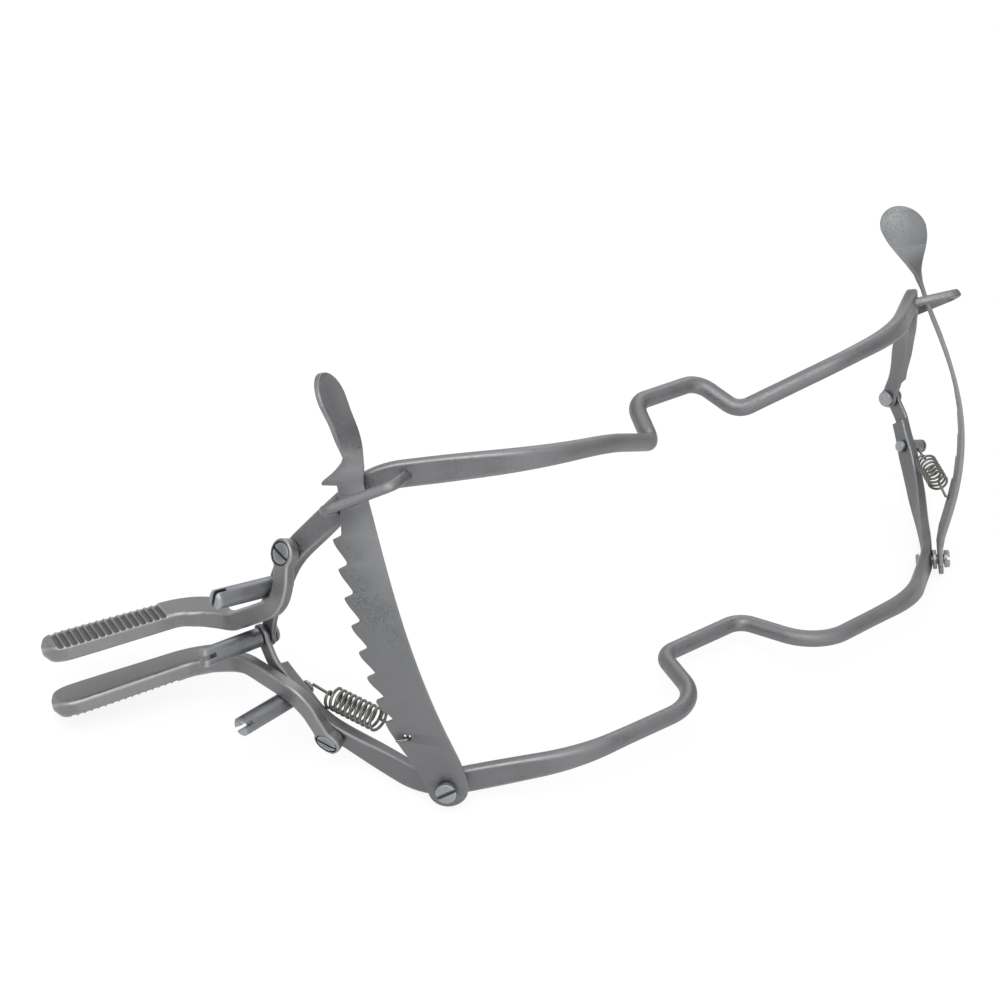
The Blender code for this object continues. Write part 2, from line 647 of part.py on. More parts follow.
for side, sign in (("left", -1), ("right", 1)):
    def here(v, sign=sign):
        return flip_x(v) if sign < 0 else np.asarray(v, float)

    verts, faces = (plate_verts, plate_faces) if sign > 0 else mirrored(plate_verts, plate_faces)
    plate = make("ratchet_plate_" + side, verts, faces, PLATE_STEEL, 0.36, here(pivot), instrument)
    cut(plate, rod_cutter("plate_bore_" + side, here(pivot), here(OUT), -0.003, 0.003,
                          PIVOT_SHANK_R + BORE_GAP, instrument))
    cut(plate, rod_cutter("plate_hole_" + side, here(hole_point), here(hole_axis), -0.003, 0.003,
                          SPRING_HOLE_R, instrument, 12))
    bar_back = -PLATE_STAND - STRIP_T / 2 - SEAT_GAP * 2
    top = PLATE_T / 2 + PLATE_GAP
    screw_profile = [(bar_back - NUB_H, NUB_R * 0.75), (bar_back - NUB_H * 0.5, NUB_R), (bar_back, NUB_R),
                     (bar_back, PIVOT_SHANK_R), (top, PIVOT_SHANK_R), (top, PIVOT_HEAD_R),
                     (top + PIVOT_HEAD_H - 0.0003, PIVOT_HEAD_R), (top + PIVOT_HEAD_H, PIVOT_HEAD_R - 0.0003)]
    verts, faces = turned(here(pivot), here(OUT), screw_profile)
    screw = make("ratchet_screw_" + side, verts, faces, rough=0.36, parent=instrument)
    cut(screw, box_cutter("ratchet_slot_cut_" + side, here(pivot + OUT * (top + PIVOT_HEAD_H)), here(OUT),
                          here(ACROSS * 0.94 + RISE * 0.34), here(RISE * 0.94 - ACROSS * 0.34),
                          (0.0012, 0.006, SLOT_W), instrument))
    washer_low = -PLATE_T / 2 - PLATE_GAP - WASHER_T
    washer_profile = [(washer_low, WASHER_R - 0.0001), (washer_low + 0.0001, WASHER_R),
                      (washer_low + WASHER_T - 0.0001, WASHER_R), (washer_low + WASHER_T, WASHER_R - 0.0001)]
    verts, faces = turned(here(pivot), here(OUT), washer_profile)
    washer = make("ratchet_washer_" + side, verts, faces, rough=0.4, parent=instrument)
    cut(washer, rod_cutter("washer_bore_" + side, here(pivot), here(OUT), -0.004, 0.002,
                           PIVOT_SHANK_R + BORE_GAP, instrument))
    cut(lower_frame, rod_cutter("pivot_bar_bore_" + side, here(pivot), here(OUT), -0.009, 0.002,
                                PIVOT_SHANK_R + BORE_GAP, instrument))


# Loops: wire staples on the upper bar's corners, which the plates slide through.
loop_s = upper_path.s_where(0, LOOP_X)
loop_bar, loop_tangent, loop_normal, loop_height = bar_frame(upper_path, loop_s)


def tube(points, radius, sides=8):
    """Tube round a polyline, with its sections turned as little as possible."""
    points = [np.asarray(p, float) for p in points]
    tangents = []
    for i in range(len(points)):
        a = points[max(0, i - 1)]
        b = points[min(len(points) - 1, i + 1)]
        tangents.append(unit(b - a))
    normal, _ = frame_of(tangents[0])
    rings = []
    for p, t in zip(points, tangents):
        normal = unit(normal - t * float(t @ normal))
        other = np.cross(t, normal)
        rings.append([p + (normal * cos(2 * pi * k / sides) + other * sin(2 * pi * k / sides)) * radius
                      for k in range(sides)])
    return joined_rings(rings)


def loop_route():
    """Up one leg, across in front of the plate, and down the other leg to the bar."""
    feet = []
    for reach in (-LOOP_REAR, LOOP_FRONT):
        p, t, n, h = bar_frame(upper_path, loop_s + reach)
        feet.append(p + n * (STRIP_T / 2 + SEAT_GAP * 1.3))
    far = loop_bar + OUT * (STRIP_T / 2 + LOOP_DEPTH + LOOP_WIRE_R)
    span = unit(loop_tangent - OUT * float(loop_tangent @ OUT))
    tops = [far - span * LOOP_REAR, far + span * LOOP_FRONT]
    return Path([feet[0], tops[0], tops[1], feet[1]], [0.0013, 0.0013], radians(30.0))


loop_path = loop_route()
loop_verts, loop_faces = tube(loop_path.points, LOOP_WIRE_R, 10)
for side, sign in (("left", -1), ("right", 1)):
    verts, faces = (loop_verts, loop_faces) if sign > 0 else mirrored(loop_verts, loop_faces)
    make("ratchet_loop_" + side, verts, faces, rough=0.36, parent=upper_swing)


def spring(name, turns, anchor, hole, coil_from, coil_to, drop, parent):
    """Coil between a pin and the plate's hole, with a bent leg of wire at each end."""
    anchor, hole = np.asarray(anchor, float), np.asarray(hole, float)
    low = anchor + (hole - anchor) * coil_from + RISE * drop
    high = anchor + (hole - anchor) * coil_to + RISE * drop
    axis = unit(high - low)
    coil = float(np.linalg.norm(high - low))
    first, second = frame_of(axis)
    points = [anchor, anchor * 0.5 + low * 0.5]
    steps = 10
    for k in range(turns * steps + 1):
        a = 2 * pi * k / steps
        points.append(low + axis * coil * k / (turns * steps) + (first * cos(a) + second * sin(a)) * SPRING_R)
    points += [high * 0.5 + hole * 0.5, hole]
    verts, faces = tube(points, SPRING_WIRE_R, 5)
    return make(name, verts, faces, SPRING_STEEL, 0.32, parent=parent)


left_anchor = lower_post_at - lower_post_axis * (post_half + NUB_H + SPRING_WIRE_R + 0.0004)
left_hole = flip_x(hole_point - hole_axis * (PLATE_T / 2 + SPRING_WIRE_R + 0.0004))
spring("ratchet_spring_left", SPRING_TURNS_LEFT, left_anchor, left_hole, 0.19, 0.71, -0.0007, instrument)
right_anchor = spring_post_at + spring_post_axis * (post_half + 0.0014)
right_anchor = right_anchor + unit(hole_point - right_anchor) * (PIN_R + SPRING_WIRE_R + 0.0003)
right_hole = hole_point - hole_axis * (PLATE_T / 2 + SPRING_WIRE_R + 0.0004)
spring("ratchet_spring_right", SPRING_TURNS_RIGHT, right_anchor, right_hole, 0.28, 0.76, 0.0004, instrument)


# Lay the instrument on the table: on the lower corners and on the lower lever's tip.
def lowest(obj, angle):
    return min(v.co[1] * sin(angle) + v.co[2] * cos(angle) for v in obj.data.vertices)


low_angle, high_angle = radians(-45.0), 0.0
for _ in range(40):
    lie = (low_angle + high_angle) / 2
    if lowest(lower_lever, lie) < lowest(lower_frame, lie):
        low_angle = lie
    else:
        high_angle = lie
turn = Matrix.Rotation(lie, 4, "X")
corners = []
for obj in bpy.context.scene.objects:
    if obj.type == "MESH" and not obj.hide_render:
        corners += [turn @ (obj.location + v.co) for v in obj.data.vertices]
low = Vector([min(c[k] for c in corners) for k in range(3)])
high = Vector([max(c[k] for c in corners) for k in range(3)])
instrument.rotation_euler = (lie, 0.0, 0.0)
instrument.location = (-(low.x + high.x) / 2, -(low.y + high.y) / 2, -low.z)
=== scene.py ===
"""Two-sided mouth gag in satin steel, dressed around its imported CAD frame."""
import json
from math import cos, pi, radians, sin

import bpy
import numpy as np
from mathutils import Matrix, Vector


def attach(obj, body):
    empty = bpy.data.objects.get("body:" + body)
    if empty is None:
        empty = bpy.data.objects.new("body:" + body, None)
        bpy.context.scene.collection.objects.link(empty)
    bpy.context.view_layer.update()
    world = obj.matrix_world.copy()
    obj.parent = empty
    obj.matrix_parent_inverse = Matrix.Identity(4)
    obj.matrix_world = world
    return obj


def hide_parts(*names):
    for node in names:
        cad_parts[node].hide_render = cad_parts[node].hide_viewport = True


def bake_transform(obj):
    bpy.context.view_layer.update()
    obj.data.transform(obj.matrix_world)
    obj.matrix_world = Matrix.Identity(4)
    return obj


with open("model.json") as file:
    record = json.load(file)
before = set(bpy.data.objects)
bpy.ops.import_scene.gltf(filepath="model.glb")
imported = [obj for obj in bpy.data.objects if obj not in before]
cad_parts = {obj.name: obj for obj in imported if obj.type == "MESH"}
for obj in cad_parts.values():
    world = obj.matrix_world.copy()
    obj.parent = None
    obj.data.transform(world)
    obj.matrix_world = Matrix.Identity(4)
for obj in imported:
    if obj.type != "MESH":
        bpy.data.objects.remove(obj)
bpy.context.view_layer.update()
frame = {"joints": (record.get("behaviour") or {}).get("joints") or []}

# ---------------------------------------------------------------- photo stand
# The instrument lies on a plain white table under soft light from all round, with the
# largest of three lamps above its left side. The camera looks down from the front left.
# Lengths are metres, and points are in the instrument's own frame unless placed.
HINGE = np.array(frame["joints"][0]["pos_m"])
LIE = radians(-25.35207)
TURN = np.array([[1.0, 0.0, 0.0], [0.0, cos(LIE), -sin(LIE)], [0.0, sin(LIE), cos(LIE)]])
EYE = (-0.20568, -0.25802, 0.11047)
EYE_AXES = ((0.793, -0.5949, -0.1313), (0.2867, 0.1742, 0.942), (-0.5376, -0.7847, 0.3087))
LENS_MM, SENSOR_MM, NEAREST = 61.2, 36.0, 0.01
TABLE_REACH, TABLE_DROP = 3, 0.0002
TABLE_GREY, TABLE_GLOW = 0.82, 0.88
SKY_TOP, SKY_DIM, SKY_BRIGHT = 0.9, 0.62, 1.30
LAMP_AIM = (0.0, 0.0, 0.03)
# Each lamp: name, place on the table's axes, width, watts.
LAMPS = (("lamp_above", (-0.35, -0.15, 0.75), 0.7, 5.0),
         ("lamp_behind", (0.45, 0.55, 0.45), 0.5, 1.6),
         ("lamp_front", (-0.1, -0.8, 0.25), 0.5, 1.2))


def placed(points):
    """Points of the instrument's own frame, whose X axis is the hinge, laid on the table."""
    return np.asarray(points, float) @ TURN.T + HINGE


def straight(direction):
    """A direction of the instrument's own frame, turned as it lies on the table."""
    return np.asarray(direction, float) @ TURN.T


camera = bpy.data.objects.new("camera", bpy.data.cameras.new("camera"))
bpy.context.scene.collection.objects.link(camera)
camera.data.lens = LENS_MM
camera.data.sensor_width = SENSOR_MM
camera.data.clip_start = NEAREST
eye_turn = np.array([straight(a) for a in EYE_AXES]).T
camera.matrix_world = Matrix.Translation(Vector(placed(EYE))) @ Matrix(eye_turn.tolist()).to_4x4()
bpy.context.scene.camera = camera
bpy.context.scene.view_settings.view_transform = "Standard"

table_mesh = bpy.data.meshes.new("table_top")
table_corners = [(x * TABLE_REACH, y * TABLE_REACH, 0) for x, y in ((-1, -1), (1, -1), (1, 1), (-1, 1))]
table_mesh.from_pydata(table_corners, [], [(0, 1, 2, 3)])
table_top = bpy.data.objects.new("table_top", table_mesh)
table_top.location = (0.0, 0.0, -TABLE_DROP)
bpy.context.scene.collection.objects.link(table_top)


def maths(tree, operation, *values):
    """Output of a maths node whose inputs are other nodes' outputs or plain numbers."""
    node = tree.nodes.new("ShaderNodeMath")
    node.operation = operation
    for place, value in zip(node.inputs, values):
        if isinstance(value, float):
            place.default_value = value
        else:
            tree.links.new(value, place)
    return node.outputs[0]


def for_camera(tree, surface, share, white):
    """Mixes a plain white glow over a surface, only for what the camera sees of it."""
    path = tree.nodes.new("ShaderNodeLightPath")
    mix = tree.nodes.new("ShaderNodeMixShader")
    tree.links.new(maths(tree, "MULTIPLY", path.outputs["Is Camera Ray"], share), mix.inputs[0])
    tree.links.new(surface, mix.inputs[1])
    tree.links.new(white, mix.inputs[2])
    return mix.outputs[0]


table_paint = bpy.data.materials.new("table_white")
table_paint.use_nodes = True
paint_nodes = table_paint.node_tree.nodes
paint_nodes.clear()
matt = paint_nodes.new("ShaderNodeBsdfDiffuse")
matt.inputs["Color"].default_value = (TABLE_GREY, TABLE_GREY, TABLE_GREY, 1.0)
glow = paint_nodes.new("ShaderNodeEmission")
glow.inputs["Strength"].default_value = 1.0
table_out = paint_nodes.new("ShaderNodeOutputMaterial")
white_table = for_camera(table_paint.node_tree, matt.outputs[0], TABLE_GLOW, glow.outputs[0])
table_paint.node_tree.links.new(white_table, table_out.inputs["Surface"])
table_mesh.materials.append(table_paint)

# The room is a soft dome, bright overhead and dimmer towards the horizon.
room = bpy.data.worlds.new("white_room")
bpy.context.scene.world = room
room.use_nodes = True
room_nodes, room_links = room.node_tree.nodes, room.node_tree.links
room_nodes.clear()
sky_way = room_nodes.new("ShaderNodeTexCoord")
sky_split = room_nodes.new("ShaderNodeSeparateXYZ")
sky_height = room_nodes.new("ShaderNodeMapRange")
for end, amount in (("From Min", 0.0), ("From Max", SKY_TOP), ("To Min", SKY_DIM), ("To Max", SKY_BRIGHT)):
    sky_height.inputs[end].default_value = amount
room_links.new(sky_way.outputs["Generated"], sky_split.inputs[0])
room_links.new(sky_split.outputs["Z"], sky_height.inputs["Value"])
soft = room_nodes.new("ShaderNodeBackground")
room_links.new(sky_height.outputs[0], soft.inputs["Strength"])
full = room_nodes.new("ShaderNodeBackground")
full.inputs["Strength"].default_value = 1.0
room_out = room_nodes.new("ShaderNodeOutputWorld")
white_room = for_camera(room.node_tree, soft.outputs[0], 1.0, full.outputs[0])
room_links.new(white_room, room_out.inputs["Surface"])

for lamp_name, at, width, watts in LAMPS:
    lamp = bpy.data.objects.new(lamp_name, bpy.data.lights.new(lamp_name, "AREA"))
    lamp.data.size = width
    lamp.data.energy = watts
    lamp.location = at
    lamp.rotation_euler = (Vector(LAMP_AIM) - lamp.location).to_track_quat("-Z", "Y").to_euler()
    bpy.context.scene.collection.objects.link(lamp)


# ---------------------------------------------------------------- steel finish
# Every piece is stainless steel, bead blasted to a satin grey apart from the spring wire.
# Edges carry a painted highlight, and the blasting leaves an even grain and faint clouds.
GRAIN_SCALE, GRAIN_DETAIL = 2600.0, 3.0
CLOUD_SCALE, CLOUD_DETAIL, CLOUD_ROUGHNESS = 140.0, 4.0, 0.6
BUMP_STRENGTH, BUMP_DEPTH = 0.5, 0.000012


def socket(tree, name, way, kind, value=None):
    """Adds a named input or output to a node group, with its first value where it has one."""
    made = tree.interface.new_socket(name=name, in_out=way, socket_type=kind)
    if value is not None:
        made.default_value = value


def blasted_grain():
    """Group: fine grain and broad clouds, as a tone factor, a roughness and a height."""
    tree = bpy.data.node_groups.new("blasted_grain", "ShaderNodeTree")
    socket(tree, "Vector", "INPUT", "NodeSocketVector")
    for name, value in (("Grain Scale", GRAIN_SCALE), ("Grain", 0.75), ("Cloud Scale", CLOUD_SCALE),
                        ("Cloud", 0.45), ("Base Roughness", 0.5)):
        socket(tree, name, "INPUT", "NodeSocketFloat", value)
    for name in ("Tone", "Roughness", "Height"):
        socket(tree, name, "OUTPUT", "NodeSocketFloat")
    nodes, links = tree.nodes, tree.links
    given = nodes.new("NodeGroupInput")
    out = nodes.new("NodeGroupOutput")
    fine = nodes.new("ShaderNodeTexNoise")
    fine.inputs["Detail"].default_value = GRAIN_DETAIL
    links.new(given.outputs["Vector"], fine.inputs["Vector"])
    links.new(given.outputs["Grain Scale"], fine.inputs["Scale"])
    broad = nodes.new("ShaderNodeTexNoise")
    broad.inputs["Detail"].default_value = CLOUD_DETAIL
    broad.inputs["Roughness"].default_value = CLOUD_ROUGHNESS
    links.new(given.outputs["Vector"], broad.inputs["Vector"])
    links.new(given.outputs["Cloud Scale"], broad.inputs["Scale"])
    # Both noises are centred on nought, so that neither changes the mean tone.
    grain = maths(tree, "SUBTRACT", fine.outputs["Fac"], 0.5)
    grain = maths(tree, "MULTIPLY", grain, given.outputs["Grain"])
    cloud = maths(tree, "SUBTRACT", broad.outputs["Fac"], 0.5)
    cloud = maths(tree, "MULTIPLY", cloud, given.outputs["Cloud"])
    both = maths(tree, "ADD", grain, cloud)
    links.new(maths(tree, "ADD", both, 1.0), out.inputs["Tone"])
    links.new(maths(tree, "ADD", both, given.outputs["Base Roughness"]), out.inputs["Roughness"])
    links.new(fine.outputs["Fac"], out.inputs["Height"])
    return tree


def painted_light_mix():
    """Group: painted light; the face's colour where the edge mask is low, turning to a lighter painted
    highlight colour where it is high.
    """
    tree = bpy.data.node_groups.new("painted_light_mix", "ShaderNodeTree")
    socket(tree, "Face", "INPUT", "NodeSocketColor")
    socket(tree, "Highlight", "INPUT", "NodeSocketColor")
    socket(tree, "Edge", "INPUT", "NodeSocketFloat", 0.0)
    socket(tree, "Tone", "INPUT", "NodeSocketFloat", 1.0)
    socket(tree, "Color", "OUTPUT", "NodeSocketColor")
    nodes, links = tree.nodes, tree.links
    given = nodes.new("NodeGroupInput")
    out = nodes.new("NodeGroupOutput")
    # The colour sockets of this node are its inputs 6 and 7 and its output 2.
    blend = nodes.new("ShaderNodeMix")
    blend.data_type = "RGBA"
    links.new(given.outputs["Edge"], blend.inputs[0])
    links.new(given.outputs["Face"], blend.inputs[6])
    links.new(given.outputs["Highlight"], blend.inputs[7])
    shade = nodes.new("ShaderNodeVectorMath")
    shade.operation = "SCALE"
    links.new(blend.outputs[2], shade.inputs[0])
    links.new(given.outputs["Tone"], shade.inputs["Scale"])
    links.new(shade.outputs[0], out.inputs["Color"])
    return tree


GRAIN = blasted_grain()
PAINTED_LIGHT_MIX = painted_light_mix()


def satin(name, face, highlight, rough, grain=0.75, cloud=0.45, cloud_scale=CLOUD_SCALE):
    """Satin steel: metal with blasted grain, faint clouds and a painted highlight where the edge mask is
    high.
    """
    mat = bpy.data.materials.new(name)
    mat.use_nodes = True
    nodes, links = mat.node_tree.nodes, mat.node_tree.links
    shader = nodes["Principled BSDF"]
    shader.inputs["Metallic"].default_value = 1.0
    place = nodes.new("ShaderNodeTexCoord")
    texture = nodes.new("ShaderNodeGroup")
    texture.node_tree = GRAIN
    for setting, value in (("Grain", grain), ("Grain Scale", GRAIN_SCALE), ("Cloud", cloud),
                           ("Cloud Scale", cloud_scale), ("Base Roughness", rough)):
        texture.inputs[setting].default_value = value
    links.new(place.outputs["Object"], texture.inputs["Vector"])
    mask = nodes.new("ShaderNodeAttribute")
    mask.attribute_name = "edge"
    colour = nodes.new("ShaderNodeGroup")
    colour.node_tree = PAINTED_LIGHT_MIX
    colour.inputs["Face"].default_value = (*face, 1.0)
    colour.inputs["Highlight"].default_value = (*highlight, 1.0)
    links.new(mask.outputs["Fac"], colour.inputs["Edge"])
    links.new(texture.outputs["Tone"], colour.inputs["Tone"])
    # The edge mask paints a highlight, mixing the lighter highlight colour over the face colour.
    links.new(colour.outputs["Color"], shader.inputs["Base Color"])
    links.new(texture.outputs["Roughness"], shader.inputs["Roughness"])
    bump = nodes.new("ShaderNodeBump")
    bump.inputs["Strength"].default_value = BUMP_STRENGTH
    bump.inputs["Distance"].default_value = BUMP_DEPTH
    links.new(texture.outputs["Height"], bump.inputs["Height"])
    links.new(bump.outputs["Normal"], shader.inputs["Normal"])
    return mat


# ---------------------------------------------------------------- frame bars
# Two bars of stainless rod: round across the mouth, with a notch bent into the middle for
# the front teeth, and rolled to a flat strip at the sides, where the hinge laps them.
HALF_SPAN = 0.083
ROD_D = 0.0033
STRIP_T, STRIP_H = 0.0023, 0.0037
ROLLED_OUT, ROLLED_FROM, ROLLED_FULL = 0.00040, 0.008, 0.015
STRIP_UNTIL, STRIP_X, ROD_X = 0.02, 0.061, 0.030
EDGE_R = 0.00055
EYE_R = 0.0022
LAP_LENGTH, LAP_RAMP, LAP_GAP = 0.0062, 0.0004, 0.0003
SEAT_GAP, BORE_GAP = 0.0002, 0.0002
BITE_PAST, BITE_RAMP, BITE_CUT = 0.0012, 0.0016, 0.10
SQUARE_UNTIL, LEVEL_FROM = 0.022, 0.036
CORNER_STEPS, FLAT_SHARES = 6, (0.04, 0.5, 0.96)
BEND_STEP, RING_STEP, LEAST_STEP = radians(4.0), 0.0007, 0.00008
TURNED_SIDES, DRILL_SIDES = 48, 40
SMOOTH_UNDER = 32.0
EDGE_SHINE, ROD_SHINE = 0.7, 0.10
bar_steel = satin("bar_steel", (0.172, 0.174, 0.178), (0.29, 0.293, 0.298), 0.54)


def unit(v):
    """The vector, or each of many, with its length made 1."""
    v = np.asarray(v, float)
    return v / np.linalg.norm(v, axis=-1, keepdims=True)


def smooth(a, b, v):
    """A soft step from 0 at a to 1 at b; a may also be the larger of the two."""
    u = np.clip((np.asarray(v, float) - a) / (b - a), 0.0, 1.0)
    return u * u * (3.0 - 2.0 * u)


def bent_line(corners, radii):
    """Polyline whose corners are replaced by tangent arcs: points, unit tangents, arc length."""
    corners = np.asarray(corners, float)
    points = [corners[:1]]
    for i in range(1, len(corners) - 1):
        a = unit(corners[i] - corners[i - 1])
        b = unit(corners[i + 1] - corners[i])
        bend = np.arctan2(np.linalg.norm(np.cross(a, b)), a @ b)
        r = radii[i - 1]
        start = corners[i] - a * r * np.tan(bend / 2)
        side = unit(b - a * (a @ b))
        angle = np.linspace(0.0, bend, max(3, int(np.ceil(bend / BEND_STEP)) + 1))[:, None]
        points.append(start + side * r * (1 - np.cos(angle)) + a * r * np.sin(angle))
    points = np.vstack(points + [corners[-1:]])
    legs = np.diff(points, axis=0)
    size = np.linalg.norm(legs, axis=1)
    s = np.concatenate([[0.0], np.cumsum(size)])
    ways = legs / size[:, None]
    tangents = unit(np.vstack([ways[:1], ways[:-1] + ways[1:], ways[-1:]]))
    return points, tangents, s


def along(line, s):
    """Points and unit tangents at arc lengths s; past an end the line runs straight on."""
    points, tangents, reach = line
    s = np.atleast_1d(np.asarray(s, float))
    inside = np.clip(s, 0.0, reach[-1])
    p = np.stack([np.interp(inside, reach, points[:, k]) for k in range(3)], -1)
    t = unit(np.stack([np.interp(inside, reach, tangents[:, k]) for k in range(3)], -1))
    return p + t * (s - inside)[:, None], t


def bar_line(up):
    """Half of a bar's centre line, from the right hinge to the middle; up is +1 or -1."""
    if up > 0:
        corner = (0.0685, -0.0212, 0.0290)
        bends = [(0.0450, -0.0366, 0.0282), (0.0290, -0.0362, 0.0262), (0.0112, -0.0258, 0.0197)]
        top = (0.0081, -0.0183, 0.0254)
        radii = [0.008, 0.018, 0.014, 0.025, 0.018, 0.0040, 0.0042]
    else:
        corner = (0.0675, -0.0220, -0.0292)
        bends = [(0.0450, -0.0368, -0.0280), (0.0160, -0.0376, -0.0281)]
        top = (0.0105, -0.0212, -0.0250)
        radii = [0.008, 0.018, 0.014, 0.025, 0.0100, 0.0042]
    leg = (HALF_SPAN, -0.0024, up * 0.0046)
    arm = (HALF_SPAN - 0.0037, -0.0085, up * 0.0160)
    middle = (0.0, top[1], top[2])
    return bent_line([(HALF_SPAN, 0.0, 0.0), leg, arm, corner, *bends, top, middle], radii)


def bar_frame(line, s):
    """Centre, tangent, face normal and height direction of a bar at arc lengths s."""
    p, t = along(line, s)
    level = unit(np.stack([-t[:, 1], t[:, 0], 0.0 * t[:, 0]], -1))
    near = smooth(LEVEL_FROM, SQUARE_UNTIL, s)[:, None]
    hint = np.array([1.0, 0.0, 0.0]) * near + level * (1.0 - near)
    normal = unit(hint - t * np.sum(hint * t, 1, keepdims=True))
    return p, t, normal, np.cross(t, normal)


def rounded_box(half_n, half_w, radius):
    """Offsets round a rectangle with round corners, and a mask that is 1 in mid corner."""
    half_n, half_w, radius = (np.reshape(v, (-1, 1)) for v in (half_n, half_w, radius))
    core_n, core_w = half_n - radius, half_w - radius
    turn = np.linspace(0.0, 90.0, CORNER_STEPS + 1)
    share = np.array(FLAT_SHARES)
    starts = ((half_n, core_w), (-core_n, half_w), (-half_n, -core_w), (core_n, -half_w))
    n, w, mask = [], [], []
    for quarter, (side_n, side_w) in enumerate(((1, 1), (-1, 1), (-1, -1), (1, -1))):
        a = np.radians(turn + 90.0 * quarter)
        n.append(side_n * core_n + radius * np.cos(a))
        w.append(side_w * core_w + radius * np.sin(a))
        next_n, next_w = starts[(quarter + 1) % 4]
        n.append(n[-1][:, -1:] + (next_n - n[-1][:, -1:]) * share)
        w.append(w[-1][:, -1:] + (next_w - w[-1][:, -1:]) * share)
        mask += np.sin(np.radians(turn * 2)).tolist() + [0.0] * len(share)
    n, w = np.hstack(n), np.hstack(w)
    return n, w, np.broadcast_to(mask, n.shape)


def skin(name, rings, edge, mat, smooth_under=SMOOTH_UNDER):
    """Closed mesh through an (n, m, 3) array of rings, with end caps and an edge mask of painted light."""
    n, m = rings.shape[:2]
    first = np.arange(n - 1)[:, None] * m
    k = np.arange(m)[None, :]
    a, b = first + k, first + (k + 1) % m
    quads = np.stack([a, b, b + m, a + m], -1).reshape(-1, 4)
    points = placed(rings.reshape(-1, 3))
    x, y, z = (points[quads[:, c]] for c in (0, 1, 2))
    w = points[quads[:, 3]]
    middle = points.mean(0)
    volume = np.sum((x - middle) * np.cross(y - middle, z - middle)) + np.sum(
        (x - middle) * np.cross(z - middle, w - middle))
    faces = quads.tolist() + [np.arange(m)[::-1].tolist(), np.arange((n - 1) * m, n * m).tolist()]
    if volume < 0:
        faces = [face[::-1] for face in faces]
    mesh = bpy.data.meshes.new(name)
    mesh.from_pydata(points.tolist(), [], faces)
    mask = mesh.attributes.new("edge", "FLOAT", "POINT")
    mask.data.foreach_set("value", np.broadcast_to(edge, (n, m)).reshape(-1).astype(np.float32))
    mesh.shade_smooth()
    mesh.set_sharp_from_angle(angle=radians(smooth_under))
    mesh.materials.append(mat)
    piece = bpy.data.objects.new(name, mesh)
    bpy.context.scene.collection.objects.link(piece)
    return piece


def bored(piece, cutters, smooth_under=SMOOTH_UNDER):
    """The piece with each cutter taken out of it for good; the cutters are then thrown away."""
    for cutter in cutters:
        tool = piece.modifiers.new("bore", "BOOLEAN")
        tool.operation = "DIFFERENCE"
        tool.solver = "EXACT"
        tool.object = cutter
    graph = bpy.context.evaluated_depsgraph_get()
    shape = bpy.data.meshes.new_from_object(piece.evaluated_get(graph))
    piece.modifiers.clear()
    piece.data = shape
    shape.shade_smooth()
    shape.set_sharp_from_angle(angle=radians(smooth_under))
    for cutter in cutters:
        bpy.data.objects.remove(cutter, do_unlink=True)
    return piece


def square_to(axis):
    """Two unit vectors square to an axis; the first is the one nearest to straight up."""
    axis = unit(axis)
    hint = np.array([0.0, 0.0, 1.0]) if abs(axis[2]) < 0.95 else np.array([0.0, 1.0, 0.0])
    first = unit(hint - axis * (axis @ hint))
    return first, np.cross(axis, first)


def turned(name, base, axis, profile, mat, sides=TURNED_SIDES):
    """Solid of revolution from profile rows of height along the axis, radius and edge mask."""
    axis = unit(axis)
    first, second = square_to(axis)
    rows = np.asarray(profile, float)
    a = np.linspace(0.0, 2 * pi, sides, endpoint=False)
    round_it = first * np.cos(a)[:, None] + second * np.sin(a)[:, None]
    rings = np.asarray(base) + axis * rows[:, 0, None, None] + round_it[None] * rows[:, 1, None, None]
    return skin(name, rings, rows[:, 2, None], mat)


def drill(base, axis, low, high, radius):
    """Cutter for a round hole, between two heights along the axis."""
    return turned("drill", base, axis, [(low, radius, 0.0), (high, radius, 0.0)], bar_steel, DRILL_SIDES)


def saw(centre, axis, across, size):
    """Cutter for a screw slot: a box along the axis, across and third directions."""
    axis, across = unit(axis), unit(across)
    third = np.cross(axis, across)
    ends = np.array([-0.5, 0.5])[:, None, None]
    turns = np.array([[-0.5, -0.5], [0.5, -0.5], [0.5, 0.5], [-0.5, 0.5]])
    ring = across * size[1] * turns[:, :1] + third * size[2] * turns[:, 1:]
    return skin("saw", np.asarray(centre) + axis * size[0] * ends + ring[None], 0.0, bar_steel)


def flip(v):
    """Points or directions of the right half, mirrored to the left."""
    return np.asarray(v, float) * np.array([-1.0, 1.0, 1.0])


